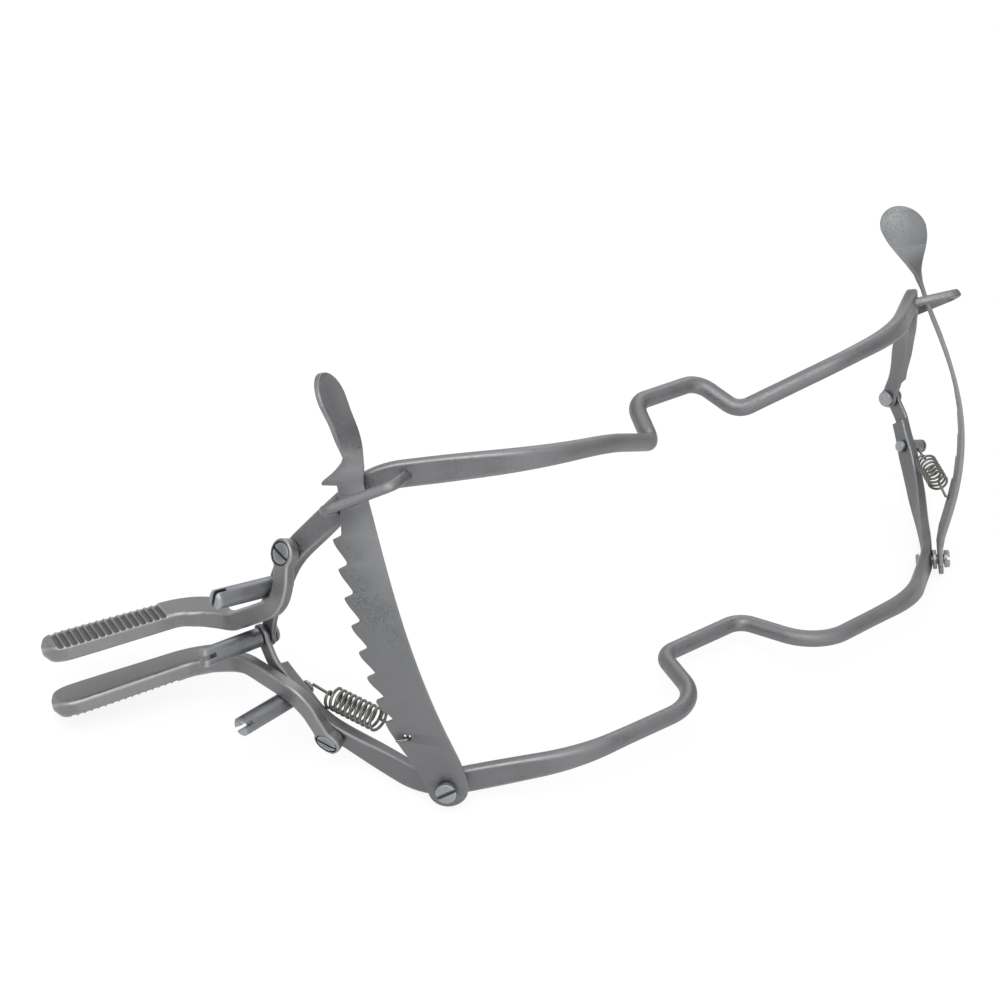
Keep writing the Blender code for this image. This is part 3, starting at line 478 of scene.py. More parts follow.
def bar_rings(line, up):
    """Rings of half a bar: round at the eye, halved in the lap, then a strip that turns to rod."""
    turn = np.radians([6, 14, 24, 35, 46, 58, 69, 80])
    s = np.concatenate([-EYE_R * np.cos(turn), np.linspace(0.0, EYE_R, 7),
                        [LAP_LENGTH - LAP_RAMP, LAP_LENGTH - LAP_RAMP * 0.5, LAP_LENGTH],
                        np.arange(LAP_LENGTH + 0.0006, line[2][-1], RING_STEP), line[2]])
    s = np.unique(np.round(s, 6))
    s = s[np.concatenate([[True], np.diff(s) > LEAST_STEP])]
    s[-1] = line[2][-1]
    p, t, normal, height = bar_frame(line, s)
    rodlike = np.where(s > STRIP_UNTIL, smooth(STRIP_X, ROD_X, p[:, 0]), 0.0)
    half_n = STRIP_T / 2 * (1 - rodlike) + ROD_D / 2 * rodlike
    half_w = STRIP_H / 2 + ROLLED_OUT * smooth(ROLLED_FROM, ROLLED_FULL, s)
    half_w = half_w * (1 - rodlike) + ROD_D / 2 * rodlike
    disc = np.sqrt(np.maximum(EYE_R ** 2 - s ** 2, 1e-9))
    half_w = np.where(s < EYE_R, np.maximum(disc, np.where(s > 0, half_w, 0.0)), half_w)
    lap = 1.0 - smooth(LAP_LENGTH - LAP_RAMP, LAP_LENGTH, s)
    thin = (half_n - LAP_GAP / 2) / 2
    shift = (1.0 if up < 0 else -1.0) * (half_n - thin) * lap
    half_n = thin * lap + half_n * (1 - lap)
    radius = np.minimum(EDGE_R * (1 - rodlike) + ROD_D / 2 * rodlike, np.minimum(half_n, half_w) * 0.98)
    n, w, arc = rounded_box(half_n, half_w, radius)
    # The flat that the front teeth bite on takes a little off the rod in mid notch.
    bite_from = (0.0055 if up > 0 else 0.0078) + BITE_PAST
    bite = smooth(bite_from, bite_from - BITE_RAMP, p[:, 0])[:, None] * BITE_CUT
    limit = half_w[:, None] * (1.0 - bite)
    w = np.minimum(w, limit) if up > 0 else np.maximum(w, -limit)
    n = n + shift[:, None]
    rings = p[:, None] + normal[:, None] * n[..., None] + height[:, None] * w[..., None]
    # The mask paints a highlight on the strip's rounded corners and a faint even one along the rod.
    return rings, EDGE_SHINE * arc * (1.0 - rodlike[:, None]) + ROD_SHINE * rodlike[:, None]


def whole_bar(name, up):
    """Both halves of a bar, the left one mirrored and taken from the middle outwards."""
    line = bar_line(up)
    rings, arc = bar_rings(line, up)
    rings = np.vstack([rings, flip(rings[:-1][::-1])])
    return skin(name, rings, np.vstack([arc, arc[:-1][::-1]]), bar_steel), line


upper_bar, upper_line = whole_bar("upper_bar", 1)
lower_bar, lower_line = whole_bar("lower_bar", -1)
PIN_R = 0.0011
for bar, node, body in ((upper_bar, "upper_frame", "upper_jaw"), (lower_bar, "lower_frame", "lower_jaw")):
    eyes = [(side * HALF_SPAN, 0, 0) for side in (-1, 1)]
    bored(bar, [drill(eye, (1, 0, 0), -0.004, 0.004, PIN_R + BORE_GAP) for eye in eyes])
    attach(bar, body)
    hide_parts(node)

# ---------------------------------------------------------------- pins and posts
# Turned stainless pins. On the left a long slotted post goes through each bar and another
# through the hinge, as stops for the fingers. The right has a short rivet and a spring pin.
POST_R = 0.00175
POST_AT, POST_TILT = 0.012, -0.14
POST_REACH, HINGE_POST_REACH = 0.0118, 0.0115
PIN_HEAD_R, NUB_R, NUB_H = 0.0019, 0.0014, 0.0007
SLOT_W, SLOT_DEPTH, POST_CHAMFER = 0.0006, 0.0022, 0.00045
POST_SLOT_W, SAW_LENGTH, SAW_PAST = 0.00075, 0.006, 0.001
UPPER_SLOT_RISE, LOWER_SLOT_RISE, HINGE_SLOT_WAY = 2.4, 0.45, (0, 1, -0.3)
DOME_DROP, POST_BEVEL = 0.00035, 0.00012
PIN_HALF = STRIP_T / 2 + SEAT_GAP + POST_R * abs(POST_TILT) * 0.8
SPRING_PIN_R, SPRING_PIN_REACH = PIN_R * 1.35, 0.0034
post_steel = satin("post_steel", (0.185, 0.192, 0.205), (0.34, 0.345, 0.355), 0.46, grain=0.45)


def domed(low, high, radius, way):
    """Profile rows of a low rounded head between two heights, its painted highlight rising towards the
    crown; way is +1 for a dome at the end.
    """
    a = np.linspace(0.0, pi / 2, 7)
    r = radius - DOME_DROP * (1 - np.cos(a))
    h = np.sin(a)
    rows = np.stack([low + (high - low) * h, r, 0.2 + 0.6 * h], -1)
    return rows[::way].tolist()


outer_face = HALF_SPAN + STRIP_T / 2 + SEAT_GAP
inner_face = HALF_SPAN - STRIP_T / 2 - SEAT_GAP
post_end = outer_face + HINGE_POST_REACH


def post_rows(start, end, radius):
    """Shaft with a chamfered end; the chamfer and the rim by the slot get a painted highlight."""
    return [(start, radius - POST_BEVEL, 0.8), (start + POST_BEVEL, radius, 0.3),
            (start + 0.0008, radius, 0.05), (end - POST_CHAMFER - 0.0006, radius, 0.05),
            (end - POST_CHAMFER, radius, 0.7),
            (end - POST_CHAMFER * 0.5, radius - POST_CHAMFER * 0.36, 0.9),
            (end, radius - POST_CHAMFER, 0.8)]


def hinge_rows(beyond):
    """Inner head and shaft of a hinge pin, followed by the rows beyond its outer face."""
    inner = domed(inner_face, inner_face - NUB_H, PIN_HEAD_R, -1)
    return inner + [(inner_face, PIN_R, 0.0), (outer_face, PIN_R, 0.0)] + beyond


hinge_post = turned("hinge_post", (0, 0, 0), (-1, 0, 0),
                    hinge_rows(post_rows(outer_face, post_end, POST_R)), post_steel)
post_saw = (SLOT_DEPTH + SAW_PAST, SAW_LENGTH, POST_SLOT_W)
slot_at = (-post_end + SLOT_DEPTH / 2 - SAW_PAST / 2, 0, 0)
bored(hinge_post, [saw(slot_at, (1, 0, 0), HINGE_SLOT_WAY, post_saw)])
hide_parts("hinge_post_left")
hinge_rivet = turned("hinge_rivet", (0, 0, 0), (1, 0, 0),
                     hinge_rows(domed(outer_face, outer_face + NUB_H, PIN_HEAD_R, 1)), post_steel)
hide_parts("hinge_pin_right")


def bar_pin(name, line, tilt, reach, radius, side, slot_rise):
    """Pin through a bar, leaning by the tilt; slotted at its end, or grooved for a spring."""
    p, t, normal, _ = (v[0] for v in bar_frame(line, np.array([POST_AT])))
    axis = unit(normal + t * POST_TILT * tilt)
    if side < 0:
        p, axis = flip(p), flip(axis)
    end = PIN_HALF + reach
    rows = domed(-PIN_HALF, -PIN_HALF - NUB_H, NUB_R, -1)
    rows += [(-PIN_HALF, PIN_R, 0.0), (PIN_HALF, PIN_R, 0.0)]
    if slot_rise is not None:
        rows += post_rows(PIN_HALF, end, radius)
    else:
        rows += [(PIN_HALF, radius, 0.3), (end - 0.0008, radius, 0.1), (end - 0.0007, PIN_R, 0.3),
                 (end - 0.0006, PIN_R, 0.2), (end - 0.0005, radius, 0.5),
                 (end - 0.0001, radius, 0.7), (end, radius - 0.0001, 0.8)]
    pin = turned(name, p, axis, rows, post_steel)
    if slot_rise is not None:
        slot_way = np.array([0.0, -1.0, slot_rise])
        slot_way = slot_way - axis * (slot_way @ axis)
        bored(pin, [saw(p + axis * (end - SLOT_DEPTH / 2 + SAW_PAST / 2), axis, slot_way, post_saw)])
    return pin, p, axis


upper_pin, _, _ = bar_pin("upper_post_pin", upper_line, 1.0, POST_REACH, POST_R, -1, UPPER_SLOT_RISE)
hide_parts("upper_post")
lower_pin, lower_pin_at, lower_pin_axis = bar_pin(
    "lower_post_pin", lower_line, 1.0, POST_REACH, POST_R, -1, LOWER_SLOT_RISE)
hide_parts("lower_post")
spring_pin, spring_pin_at, spring_pin_axis = bar_pin(
    "spring_pin", lower_line, 0.0, SPRING_PIN_REACH, SPRING_PIN_R, 1, None)
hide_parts("spring_post_right")
for pin, body in ((hinge_post, "lower_jaw"), (hinge_rivet, "lower_jaw"), (upper_pin, "upper_jaw"),
                  (lower_pin, "lower_jaw"), (spring_pin, "lower_jaw")):
    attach(pin, body)

# ---------------------------------------------------------------- finger levers
# Two forged levers, each screwed to a bar by a flush screw and resting against its post.
# They curve out past the hinge and widen into finger pads with cross grooves for grip.
LEVER_EYE_R = 0.0026
LEVER_ARM_T, LEVER_ARM_H = 0.0022, 0.0034
PAD_T, PAD_W, PAD_TIP_W = 0.0030, 0.0080, 0.0092
GROOVE_N, GROOVE_PITCH, GROOVE_DEPTH = 16, 0.00125, 0.00072
SCREW_HEAD_R, SCREW_SHANK_R, SCREW_HEAD_H = 0.00195, 0.0010, 0.0009
LEVER_BENDS = (0.0055, 0.0080, 0.0080)
TEETH_INSET, GROOVE_STEPS, LEVER_STEP, LEVER_LEAST_STEP = 0.0022, 12, 0.00055, 0.00004
LEVEL_START, LEVEL_END = 0.006, 0.013
WIDEN_BEFORE, WIDE_BEFORE = 0.010, 0.001
TIP_SQUARE, TIP_THIN, TIP_THIN_RUN = 2.3, 0.0007, 0.0016
ARM_EDGE_R, PAD_EDGE_R = 0.00050, 0.00022
GROOVE_FULL, GROOVE_SHARP, FACE_SHARP = 1.45, 1.4, 8
LEVER_SHINE, ARC_SHINE, CREST_SHINE, GROOVE_SHADE = 0.42, 0.38, 0.55, 0.40
LEVER_SMOOTH = 38.0
lever_steel = satin("lever_steel", (0.115, 0.116, 0.118), (0.345, 0.348, 0.352), 0.52)


def lever(name, line, up, screw_at, turn_at, dip, bend, tip):
    """Sweep from the eye to the pad, which widens before the bend and is round at its tip."""
    p, _, normal, _ = (v[0] for v in bar_frame(line, np.array([screw_at])))
    p, normal = flip(p), flip(normal)
    eye = p + normal * (STRIP_T / 2 + SEAT_GAP + LEVER_ARM_T / 2)
    fall = np.array([0.0, turn_at[0] - eye[1], turn_at[1] - eye[2]])
    fall = fall - normal * (fall @ normal)
    route = bent_line([eye, eye + fall, dip, bend, tip], LEVER_BENDS)
    total = route[2][-1]
    wide_from = route[2][np.argmin(np.linalg.norm(route[0] - np.asarray(bend), axis=1))]
    teeth_end = total - TEETH_INSET
    teeth_start = teeth_end - GROOVE_N * GROOVE_PITCH
    tip_r = PAD_TIP_W / 2
    ease = np.radians([8, 18, 28, 38, 48, 58, 68, 78])
    s = np.concatenate([-LEVER_EYE_R * np.cos(ease), np.linspace(0.0, LEVER_EYE_R, 8),
                        np.arange(LEVER_EYE_R + 0.0004, teeth_start, LEVER_STEP),
                        np.arange(teeth_start, teeth_end, GROOVE_PITCH / GROOVE_STEPS), [teeth_end],
                        total - tip_r + tip_r * np.sin(np.radians(np.linspace(36, 89, 16)))])
    s = np.unique(np.round(s, 6))
    s = s[(s < total) & np.concatenate([[True], np.diff(s) > LEVER_LEAST_STEP])]
    centre, way = along(route, s)
    level = unit(np.stack([-way[:, 1], way[:, 0], 0.0 * way[:, 0]], -1))
    blend = smooth(LEVEL_START, LEVEL_END, s)[:, None]
    hint = normal * (1 - blend) + level * blend
    wide = unit(hint - way * np.sum(hint * way, 1, keepdims=True))
    thick = np.cross(way, wide)
    pad = smooth(wide_from - WIDEN_BEFORE, wide_from - WIDE_BEFORE, s)
    half_w = LEVER_ARM_T / 2 * (1 - pad) + PAD_W / 2 * pad
    half_w = half_w + (PAD_TIP_W - PAD_W) / 2 * smooth(wide_from, total - tip_r, s)
    tip_share = np.clip((s - total + tip_r) / tip_r, 0.0, 0.9995)
    half_w = np.where(s > total - tip_r, tip_r * np.sqrt(1.0 - tip_share ** TIP_SQUARE), half_w)
    half_t = LEVER_ARM_H / 2 * (1 - pad) + PAD_T / 2 * pad
    disc = np.sqrt(np.maximum(LEVER_EYE_R ** 2 - s ** 2, 1e-9))
    half_t = np.where(s < LEVER_EYE_R, np.maximum(disc, np.where(s > 0, LEVER_ARM_H / 2, 0.0)), half_t)
    half_t = half_t - TIP_THIN * smooth(total - TIP_THIN_RUN, total, s) ** 2
    radius = np.minimum(ARM_EDGE_R + PAD_EDGE_R * pad, np.minimum(half_w, half_t) * 0.98)
    across, high, arc = rounded_box(half_w, half_t, radius)
    # The grooves are cut into the outer face only, so the face mask fades at its sides.
    grooved = (s > teeth_start) & (s < teeth_end)
    phase = np.mod((s - teeth_start) / GROOVE_PITCH, 1.0)
    cut = GROOVE_DEPTH * np.clip(GROOVE_FULL * np.sin(pi * phase) ** GROOVE_SHARP, 0.0, 1.0)
    cut = np.where(grooved, cut, 0.0)[:, None]
    face = np.clip(up * high / half_t[:, None], 0.0, 1.0) ** FACE_SHARP
    high = high - up * cut * face
    crest = face * (1.0 - cut / GROOVE_DEPTH) * grooved[:, None]
    rings = centre[:, None] + wide[:, None] * across[..., None] + thick[:, None] * high[..., None]
    # Painted light: a highlight over the whole lever, stronger on its rounded corners and groove crests,
    # and painted shade in the groove valleys.
    edge = LEVER_SHINE + ARC_SHINE * arc + CREST_SHINE * crest - GROOVE_SHADE * face * cut / GROOVE_DEPTH
    body = skin(name, rings, np.clip(edge, 0.0, 1.0), lever_steel, LEVER_SMOOTH)
    # The screw's head sits in a round seat, flush with the lever.
    top = LEVER_ARM_T / 2
    floor = top - SCREW_HEAD_H - SEAT_GAP
    bore_r, seat_r = SCREW_SHANK_R + BORE_GAP, SCREW_HEAD_R + BORE_GAP * 0.75
    seat = turned("seat", eye, normal, [(-0.004, bore_r, 0), (floor, bore_r, 0), (floor, seat_r, 0),
                                        (0.004, seat_r, 0)], bar_steel)
    bored(body, [seat], LEVER_SMOOTH)
    shank = -(top + SEAT_GAP + STRIP_T * 0.9)
    under = top - SCREW_HEAD_H
    # The screw's mask paints a highlight on the rim of its head.
    screw = turned(name + "_flush_screw", eye, normal, [
        (shank, SCREW_SHANK_R, 0.3), (under, SCREW_SHANK_R, 0.0), (under, SCREW_HEAD_R, 0.2),
        (top - 0.00022, SCREW_HEAD_R, 0.6), (top - 0.00006, SCREW_HEAD_R - 0.00007, 0.9),
        (top + 0.00004, SCREW_HEAD_R - 0.00030, 0.5), (top + 0.00009, SCREW_HEAD_R * 0.5, 0.1)], post_steel)
    first, second = square_to(normal)
    bored(screw, [saw(eye + normal * (top + 0.0003), normal, first * 0.5 + second * 0.85,
                      (0.0014, SAW_LENGTH, SLOT_W * 0.8))])
    return body, screw


upper_arm, upper_flush = lever(
    "upper_finger_lever", upper_line, 1, 0.0190, (-0.0098, 0.0076),
    (-0.0866, 0.0048, 0.0026), (-0.0885, 0.0150, 0.0036), (-0.1162, 0.0207, 0.0033))
lower_arm, lower_flush = lever(
    "lower_finger_lever", lower_line, -1, 0.0213, (-0.0100, -0.0073),
    (-0.0865, 0.0020, -0.0049), (-0.0885, 0.0150, -0.0063), (-0.1166, 0.0207, -0.0073))
for piece, node, body in ((upper_arm, "upper_lever", "upper_jaw"),
                          (upper_flush, "upper_lever_screw", "upper_jaw"),
                          (lower_arm, "lower_lever", "lower_jaw"),
                          (lower_flush, "lower_lever_screw", "lower_jaw")):
    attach(piece, body)
    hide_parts(node)

# ---------------------------------------------------------------- ratchet plates
# Thin spring-steel plates, cut with sawteeth on the rear edge and bowed outwards. The top
# is twisted into a thumb tab; the foot turns on a slotted screw over a washer.
PLATE_TURN = radians(47.0)
PLATE_T, PLATE_GAP = 0.0009, 0.00035
PIVOT_X, LOOP_X = 0.0645, 0.0683
TOOTH_N, TOOTH_PITCH, TOOTH_DEPTH, TOOTH_FIRST, SHOULDER = 8, 0.00479, 0.0016, 0.0155, 0.0008
PLATE_BOW, PLATE_LEAN, BOW_FROM, BOW_TO, LEAN_TO = 0.0056, 0.0010, 0.003, 0.054, 0.056
BOW_EASE, PAST_RUN, PAST_SLOPE, PROBE = 0.003, 0.004, 0.24, 0.0003
PLATE_BEVEL, PLATE_SMOOTH = 0.00016, 30.0
LOOP_AT, SPUR_RISE = 0.0566, 0.0016
# Spur rows: height over its underside, rear edge, front edge, share of the twist.
SPUR = np.array([(-0.0002, -0.0129, -0.0058, 0.0), (0.0002, -0.0130, -0.00575, 0.0),
                 (0.0006, -0.0126, -0.0057, 0.0), (0.0011, -0.0118, -0.0056, 0.01),
                 (0.0016, -0.01105, -0.0056, 0.03), (0.0022, -0.0103, -0.0055, 0.07),
                 (0.0028, -0.0097, -0.0055, 0.12), (0.0034, -0.0092, -0.00545, 0.17)])
# Tooth rows: step up from the tip, and depth of the rear edge in shares of the tooth's depth.
TOOTH = ((0.0, 0.0), (0.00016, 0.0), (SHOULDER - 0.00012, 0.93), (SHOULDER + 0.0003, 1.02), (0.0016, 0.90),
         (0.0024, 0.64), (0.0034, 0.28), (0.0041, 0.09), (TOOTH_PITCH - 0.0002, 0.01))
TIP_BLUNT = 0.00002
THUMB_TWIST, THUMB_W, THUMB_TIP = radians(-80.0), 0.0094, 0.0760
THUMB_ROUND, THUMB_ARC = 0.68, 0.32
WASHER_R, WASHER_T = 0.0021, 0.0008
PIVOT_HEAD_R, PIVOT_HEAD_H, PIVOT_SHANK_R = 0.0019, 0.0012, 0.00105
SPRING_HOLE_R, HOLE_UP, HOLE_IN = 0.0008, 0.0124, -0.0048
OUT = np.array([cos(PLATE_TURN), -sin(PLATE_TURN), 0.0])
ACROSS = np.array([-sin(PLATE_TURN), -cos(PLATE_TURN), 0.0])
RISE = np.array([0.0, 0.0, 1.0])
plate_steel = satin("plate_spring_steel", (0.145, 0.147, 0.152), (0.25, 0.253, 0.258), 0.58, grain=0.70,
                    cloud=0.40, cloud_scale=110.0)


def s_at_x(line, x):
    """Arc length where a bar's centre line first comes in to the given x."""
    return float(np.interp(-x, -line[0][:, 0], line[2]))


pivot_bar = bar_frame(lower_line, np.array([s_at_x(lower_line, PIVOT_X)]))[0][0]
PLATE_STAND = STRIP_T / 2 + SEAT_GAP + WASHER_T + PLATE_GAP + PLATE_T / 2
pivot = pivot_bar + OUT * PLATE_STAND


def plate_front(b):
    """Straight front edge of a plate at height b over its screw."""
    return 0.00405 - 0.172 * b


def plate_tips(b):
    """Line through the tooth tips: a straight lean with a slight bulge in the middle."""
    return -0.0079 - 0.1224 * (b - TOOTH_FIRST) - 0.0003 * (1.0 - ((b - 0.032) / 0.0167) ** 2)


def plate_bow(b):
    """Outward bow at height b: half a sine wave with a slight lean, then straight past the loop."""
    low, high = BOW_FROM, BOW_TO
    b = np.asarray(b, float)
    lean = PLATE_LEAN * np.maximum(0.0, b - low) / (LEAN_TO - low)
    arch = PLATE_BOW * np.sin(pi * (b - low) / (high - low))
    arch = arch * (1.0 - np.exp(-np.maximum(b - low, 0.0) / BOW_EASE))
    slope = -PLATE_BOW * pi / (high - low) + PLATE_LEAN / (LEAN_TO - low)
    past = PLATE_LEAN * (high - low) / (LEAN_TO - low)
    past = past + slope * np.minimum(np.maximum(b - high, 0), PAST_RUN) * 0.8
    past = past - PAST_SLOPE * np.maximum(0.0, b - high - PAST_RUN)
    return np.where(b <= low, 0.0, np.where(b >= high, past, arch + lean))


def plate_rows():
    """Rows of height, rear edge, front edge and twist: foot, teeth, spur and thumb tab."""
    foot = np.radians(np.linspace(8, 82, 10))
    half = 0.0038 * np.sin(foot)
    rows = [np.stack([-0.0032 * np.cos(foot), -half * 0.90, np.minimum(half, 0.0036), 0 * half], -1)]
    b = np.array([0.0, 0.0030, 0.0060, 0.0090, 0.0120, 0.0144])
    rear = np.array([-0.0035, -0.0042, -0.0051, -0.0061, -0.0070, -0.0077])
    rows.append(np.stack([b, rear, plate_front(b), 0 * b], -1))
    tip = TOOTH_FIRST + np.arange(TOOTH_N)[:, None] * TOOTH_PITCH
    step, back = np.array(TOOTH).T
    back = back * TOOTH_DEPTH
    back[1] = TIP_BLUNT
    b = (tip + step).reshape(-1)
    rear = (plate_tips(tip + step) + back).reshape(-1)
    keep = b < TOOTH_FIRST + (TOOTH_N - 1) * TOOTH_PITCH + SHOULDER + 0.0005
    rows.append(np.stack([b, rear, plate_front(b), 0 * b], -1)[keep])
    top = LOOP_AT
    under = top + SPUR_RISE
    rows.append(np.array([(top - 0.0036, -0.0103, plate_front(top - 0.0036), 0.0),
                          (top, -0.0103, plate_front(top), 0.0),
                          (under - 0.0005, -0.0104, plate_front(top + 0.0011), 0.0)]))
    rows.append(SPUR + np.array([under, 0.0, 0.0, 0.0]))
    # The thumb tab widens from its neck, and from THUMB_ROUND of its length ends in an arc.
    neck = top + 0.0056
    arc = np.sin(np.radians(np.linspace(4, 88, 24)))
    share = np.concatenate([np.linspace(0.0, THUMB_ROUND, 28), THUMB_ROUND + THUMB_ARC * arc])
    width_at = [0.0, 0.12, 0.26, 0.42, 0.56, THUMB_ROUND]
    width = np.interp(share, width_at, [0.372, 0.43, 0.58, 0.80, 0.95, 1.0])
    kernel = np.ones(7) / 7
    width[3:25] = np.convolve(width, kernel, "same")[3:25]
    round_end = np.sqrt(np.maximum(1.0 - ((share - THUMB_ROUND) / THUMB_ARC) ** 2, 1e-4))
    width = np.where(share > THUMB_ROUND, round_end, width)
    twist = np.interp(share, [0.0, 0.12, 0.26, 0.42, 0.56], [0.22, 0.48, 0.78, 0.97, 1.0])
    twist[3:25] = np.convolve(twist, kernel, "same")[3:25]
    centre = -0.0072 - 0.0040 * share ** 1.3
    half = THUMB_W / 2 * width
    rows.append(np.stack([neck + (THUMB_TIP - neck) * share, centre - half, centre + half, twist], -1))
    return np.vstack(rows)


def plate_rings(side):
    """Flat section with bevelled edges at each row, set on the bowed plane and twisted."""
    b, rear, front, twist = plate_rows().T
    centre, half = (rear + front) / 2, (front - rear) / 2
    slope = (plate_bow(b + PROBE) - plate_bow(b - PROBE)) / (2 * PROBE)
    a = (THUMB_TWIST * twist)[:, None]
    way = ACROSS * np.cos(a) + np.cross(RISE, ACROSS) * np.sin(a)
    face = OUT * np.cos(a) + np.cross(RISE, OUT) * np.sin(a)
    face = unit(face - RISE * slope[:, None] * (face @ OUT)[:, None])
    mid = pivot + ACROSS * centre[:, None] + RISE * b[:, None] + OUT * plate_bow(b)[:, None]
    t = PLATE_T / 2
    r = PLATE_BEVEL
    n = np.array([-t + r, -t + r * 0.3, -t, -t, -t + r * 0.3, -t + r,
                  t - r, t - r * 0.3, t, t, t - r * 0.3, t - r])
    inset = np.array([0.0, r * 0.3, r, r, r * 0.3, 0.0, 0.0, r * 0.3, r, r, r * 0.3, 0.0])
    sign = np.array([1, 1, 1, -1, -1, -1, -1, -1, -1, 1, 1, 1.0])
    w = sign[None, :] * (half[:, None] - inset[None, :])
    rings = mid[:, None] + way[:, None] * w[..., None] + face[:, None] * n[None, :, None]
    # Painted highlight, strong on the plate's narrow cut edges and weaker on its broad faces.
    edge = np.broadcast_to(np.where(inset > 0.5 * r, 0.35, 0.9)[None, :], w.shape)
    return (rings if side > 0 else flip(rings)), edge


hole_point = pivot + ACROSS * HOLE_IN + RISE * HOLE_UP + OUT * plate_bow(HOLE_UP)
hole_axis = unit(OUT - RISE * (plate_bow(HOLE_UP + PROBE) - plate_bow(HOLE_UP - PROBE)) / (2 * PROBE))
for name, side in (("left", -1), ("right", 1)):
    def here(v, side=side):
        """Points or directions of the right side, on the side that is being made."""
        return flip(v) if side < 0 else np.asarray(v, float)

    rings, edge = plate_rings(side)
    plate = skin("toothed_plate_" + name, rings, edge, plate_steel, PLATE_SMOOTH)
    bored(plate, [drill(here(pivot), here(OUT), -0.003, 0.003, PIVOT_SHANK_R + BORE_GAP),
                  drill(here(hole_point), here(hole_axis), -0.003, 0.003, SPRING_HOLE_R)], PLATE_SMOOTH)
    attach(plate, "plate_" + name)
    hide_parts("ratchet_plate_" + name)
    back = -PLATE_STAND - STRIP_T / 2 - SEAT_GAP * 2
    top = PLATE_T / 2 + PLATE_GAP
    crown = top + PIVOT_HEAD_H
    # The screw and washer rows paint a highlight on their rims.
    screw = turned("plate_screw_" + name, here(pivot), here(OUT), domed(back, back - NUB_H, NUB_R, -1) + [
        (back, PIVOT_SHANK_R, 0.0), (top, PIVOT_SHANK_R, 0.0), (top, PIVOT_HEAD_R, 0.3),
        (crown - 0.00035, PIVOT_HEAD_R, 0.6), (crown - 0.00012, PIVOT_HEAD_R - 0.0001, 0.9),
        (crown, PIVOT_HEAD_R - 0.00034, 0.6)], post_steel)
    bored(screw, [saw(here(pivot + OUT * crown), here(OUT), here(ACROSS * 0.94 + RISE * 0.34),
                      (0.0012, SAW_LENGTH, SLOT_W))])
    low = -PLATE_T / 2 - PLATE_GAP - WASHER_T
    washer = turned("plate_washer_" + name, here(pivot), here(OUT), [
        (low, WASHER_R - 0.0001, 0.7), (low + 0.0001, WASHER_R, 0.5),
        (low + WASHER_T - 0.0001, WASHER_R, 0.5), (low + WASHER_T, WASHER_R - 0.0001, 0.7)], post_steel)
    bored(washer, [drill(here(pivot), here(OUT), -0.004, 0.002, PIVOT_SHANK_R + BORE_GAP)])
    for piece, node in ((screw, "ratchet_screw_"), (washer, "ratchet_washer_")):
        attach(piece, "lower_jaw")
        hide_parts(node + name)

# ---------------------------------------------------------------- plate loops
# A staple of narrow strip is brazed to each upper corner. The toothed plate slides through
# it, and a tooth catches on its rear leg to hold the bars open.
LOOP_WIRE_R, LOOP_DEPTH, LOOP_REAR, LOOP_FRONT = 0.00062, 0.0072, 0.0079, 0.0060
LOOP_HALF_H, LOOP_REAR_RISE, LOOP_BENDS = 0.00090, 0.0012, (0.0016, 0.0020)
LOOP_SIDES, LOOP_RINGS, LOOP_SMOOTH, STRIP_SQUARE = 28, 110, 40.0, 0.7


def tube(name, points, radius, sides, mat, edge=0.12, height=None):
    """Tube round a line, turned as little as possible on its way; with a height, a flat strip."""
    points = np.asarray(points, float)
    ways = np.vstack([points[1:2] - points[:1], points[2:] - points[:-2], points[-1:] - points[-2:-1]])
    ways = unit(ways)
    normals = [square_to(ways[0])[0]]
    for way in ways[1:]:
        normals.append(unit(normals[-1] - way * (normals[-1] @ way)))
    normals = np.array(normals)
    others = np.cross(ways, normals)
    a = np.linspace(0.0, 2 * pi, sides, endpoint=False)
    tall, flat = np.cos(a) * (height or radius), np.sin(a) * radius
    if height:
        tall = np.sign(tall) * np.abs(tall / height) ** STRIP_SQUARE * height
        flat = np.sign(flat) * np.abs(flat / radius) ** STRIP_SQUARE * radius
    ring = normals[:, None] * tall[None, :, None] + others[:, None] * flat[None, :, None]
    return skin(name, points[:, None] + ring, edge, mat, LOOP_SMOOTH)


loop_s = s_at_x(upper_line, LOOP_X)
loop_bar, loop_way, _, _ = (v[0] for v in bar_frame(upper_line, np.array([loop_s])))
feet_p, _, feet_n, _ = bar_frame(upper_line, np.array([loop_s - LOOP_REAR, loop_s + LOOP_FRONT]))
feet = feet_p + feet_n * (STRIP_T / 2 - 0.0002)
far = loop_bar + OUT * (STRIP_T / 2 + LOOP_DEPTH + LOOP_WIRE_R)
span = unit(loop_way - OUT * (loop_way @ OUT))
rear_corner = far - span * LOOP_REAR + RISE * LOOP_REAR_RISE
loop_line = bent_line([feet[0], rear_corner, far + span * LOOP_FRONT, feet[1]], LOOP_BENDS)
loop_points = along(loop_line, np.linspace(0.0, loop_line[2][-1], LOOP_RINGS))[0]
for name, side in (("left", -1), ("right", 1)):
    wire = tube("plate_loop_" + name, loop_points if side > 0 else flip(loop_points), LOOP_WIRE_R,
                LOOP_SIDES, bar_steel, 0.15, LOOP_HALF_H)
    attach(wire, "upper_jaw")
    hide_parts("ratchet_loop_" + name)

# ---------------------------------------------------------------- springs
# A small tension spring of drawn steel wire pulls each plate's teeth on to its loop. It
# hangs from a pin on the lower bar and hooks into a hole near the foot of the plate.
SPRING_R, SPRING_WIRE_R, SPRING_SIDES, TURN_RINGS = 0.0020, 0.00028, 10, 28
HOOK_BEND, HOOK_LENGTH = 0.00045, 0.0016
wire_steel = satin("spring_wire_steel", (0.150, 0.147, 0.135), (0.30, 0.30, 0.28), 0.34,
                   grain=0.06, cloud=0.04)


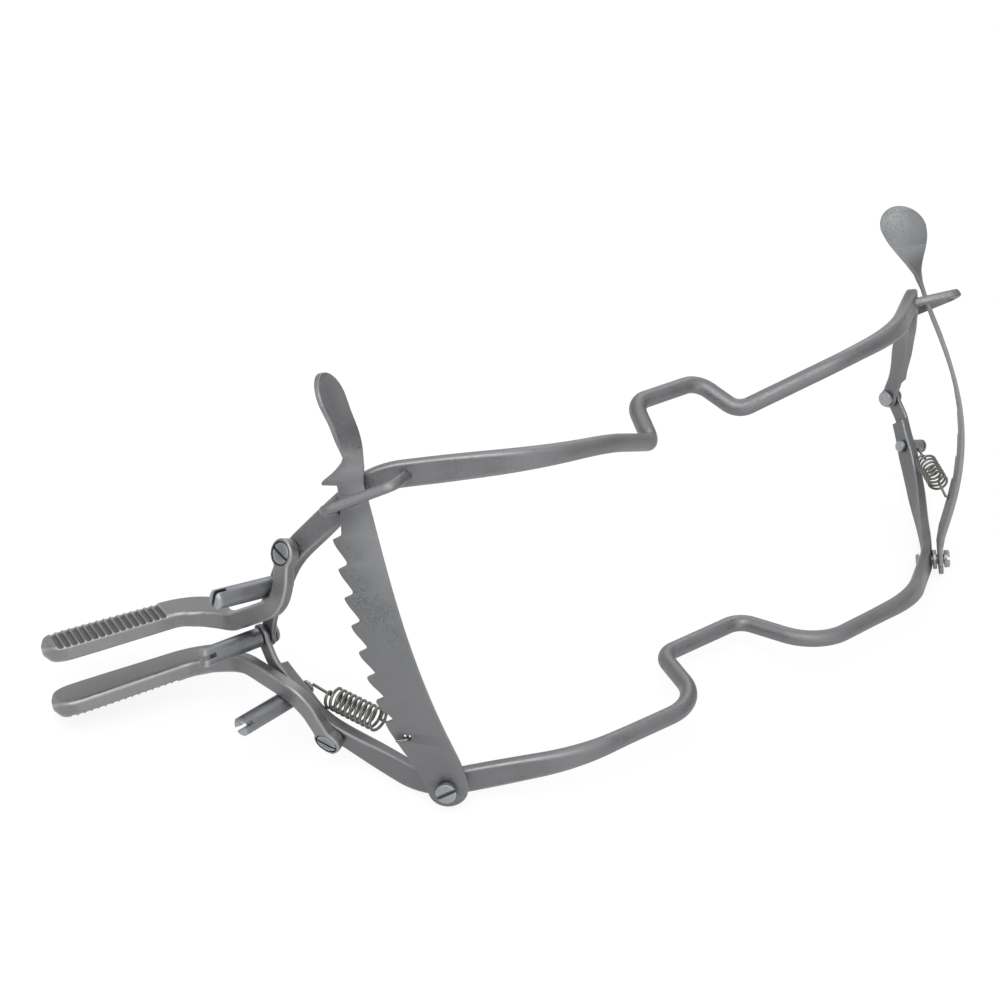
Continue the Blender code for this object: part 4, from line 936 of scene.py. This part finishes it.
def coil_line(turns, anchor, hole, coil_from, coil_to, drop, hook):
    """Leg, helix, leg and hook: the helix's radius grows from the leg in its first quarter turn."""
    anchor, hole = np.asarray(anchor, float), np.asarray(hole, float)
    low = anchor + (hole - anchor) * coil_from + RISE * drop
    high = anchor + (hole - anchor) * coil_to + RISE * drop
    axis = unit(high - low)
    first, second = square_to(axis)
    share = np.linspace(0.0, 1.0, turns * TURN_RINGS + 1)
    a = 2 * pi * turns * share
    grow = np.clip(np.minimum(share, 1.0 - share) * turns * 5.0, 0.0, 1.0)
    grow = 0.15 + 0.85 * np.sqrt(grow * (2.0 - grow))
    coil = low + np.outer(share, high - low) + (
        first * np.cos(a)[:, None] + second * np.sin(a)[:, None]) * (SPRING_R * grow)[:, None]
    lead = np.linspace(0.0, 1.0, 9)[:-1, None]
    last_leg = coil[-1] + (hole - coil[-1]) * (1.0 - lead[::-1])
    return np.vstack([anchor + (coil[0] - anchor) * lead, coil, last_leg, hook])


def hook_points():
    """The hook: through the hole in the plate, then bent back over its outer face to the teeth."""
    stand = PLATE_T / 2 + SPRING_WIRE_R + 0.00025
    turn = np.radians(np.linspace(0.0, 90.0, 8))[1:, None]
    bend = HOOK_BEND
    start = hole_point + hole_axis * (stand - bend) + ACROSS * 0.0001
    arc = start + hole_axis * bend * np.sin(turn) - ACROSS * bend * (1.0 - np.cos(turn))
    return np.vstack([hole_point - hole_axis * 0.0004, start, arc, arc[-1] - ACROSS * HOOK_LENGTH])


leg_end = hole_point - hole_axis * (PLATE_T / 2 + SPRING_WIRE_R + 0.0004)
left_anchor = lower_pin_at - lower_pin_axis * (PIN_HALF + NUB_H + SPRING_WIRE_R + 0.0004)
right_anchor = spring_pin_at + spring_pin_axis * (PIN_HALF + 0.0014)
right_anchor = right_anchor + unit(hole_point - right_anchor) * (PIN_R + SPRING_WIRE_R + 0.0003)
# Each spring: side, turns, its two ends, the shares of the way where the coil starts and
# ends, how far the coil stands over the straight line between its ends, and its hook.
spring_specs = (
    ("left", 10, left_anchor, flip(leg_end), 0.19, 0.71, -0.0007, flip(hook_points())),
    ("right", 7, right_anchor, leg_end, 0.28, 0.76, 0.0004, hook_points()))
for name, turns, anchor, hole, coil_from, coil_to, drop, hook in spring_specs:
    coil = tube("plate_spring_" + name, coil_line(turns, anchor, hole, coil_from, coil_to, drop, hook),
                SPRING_WIRE_R, SPRING_SIDES, wire_steel)
    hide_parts("ratchet_spring_" + name)
    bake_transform(coil)
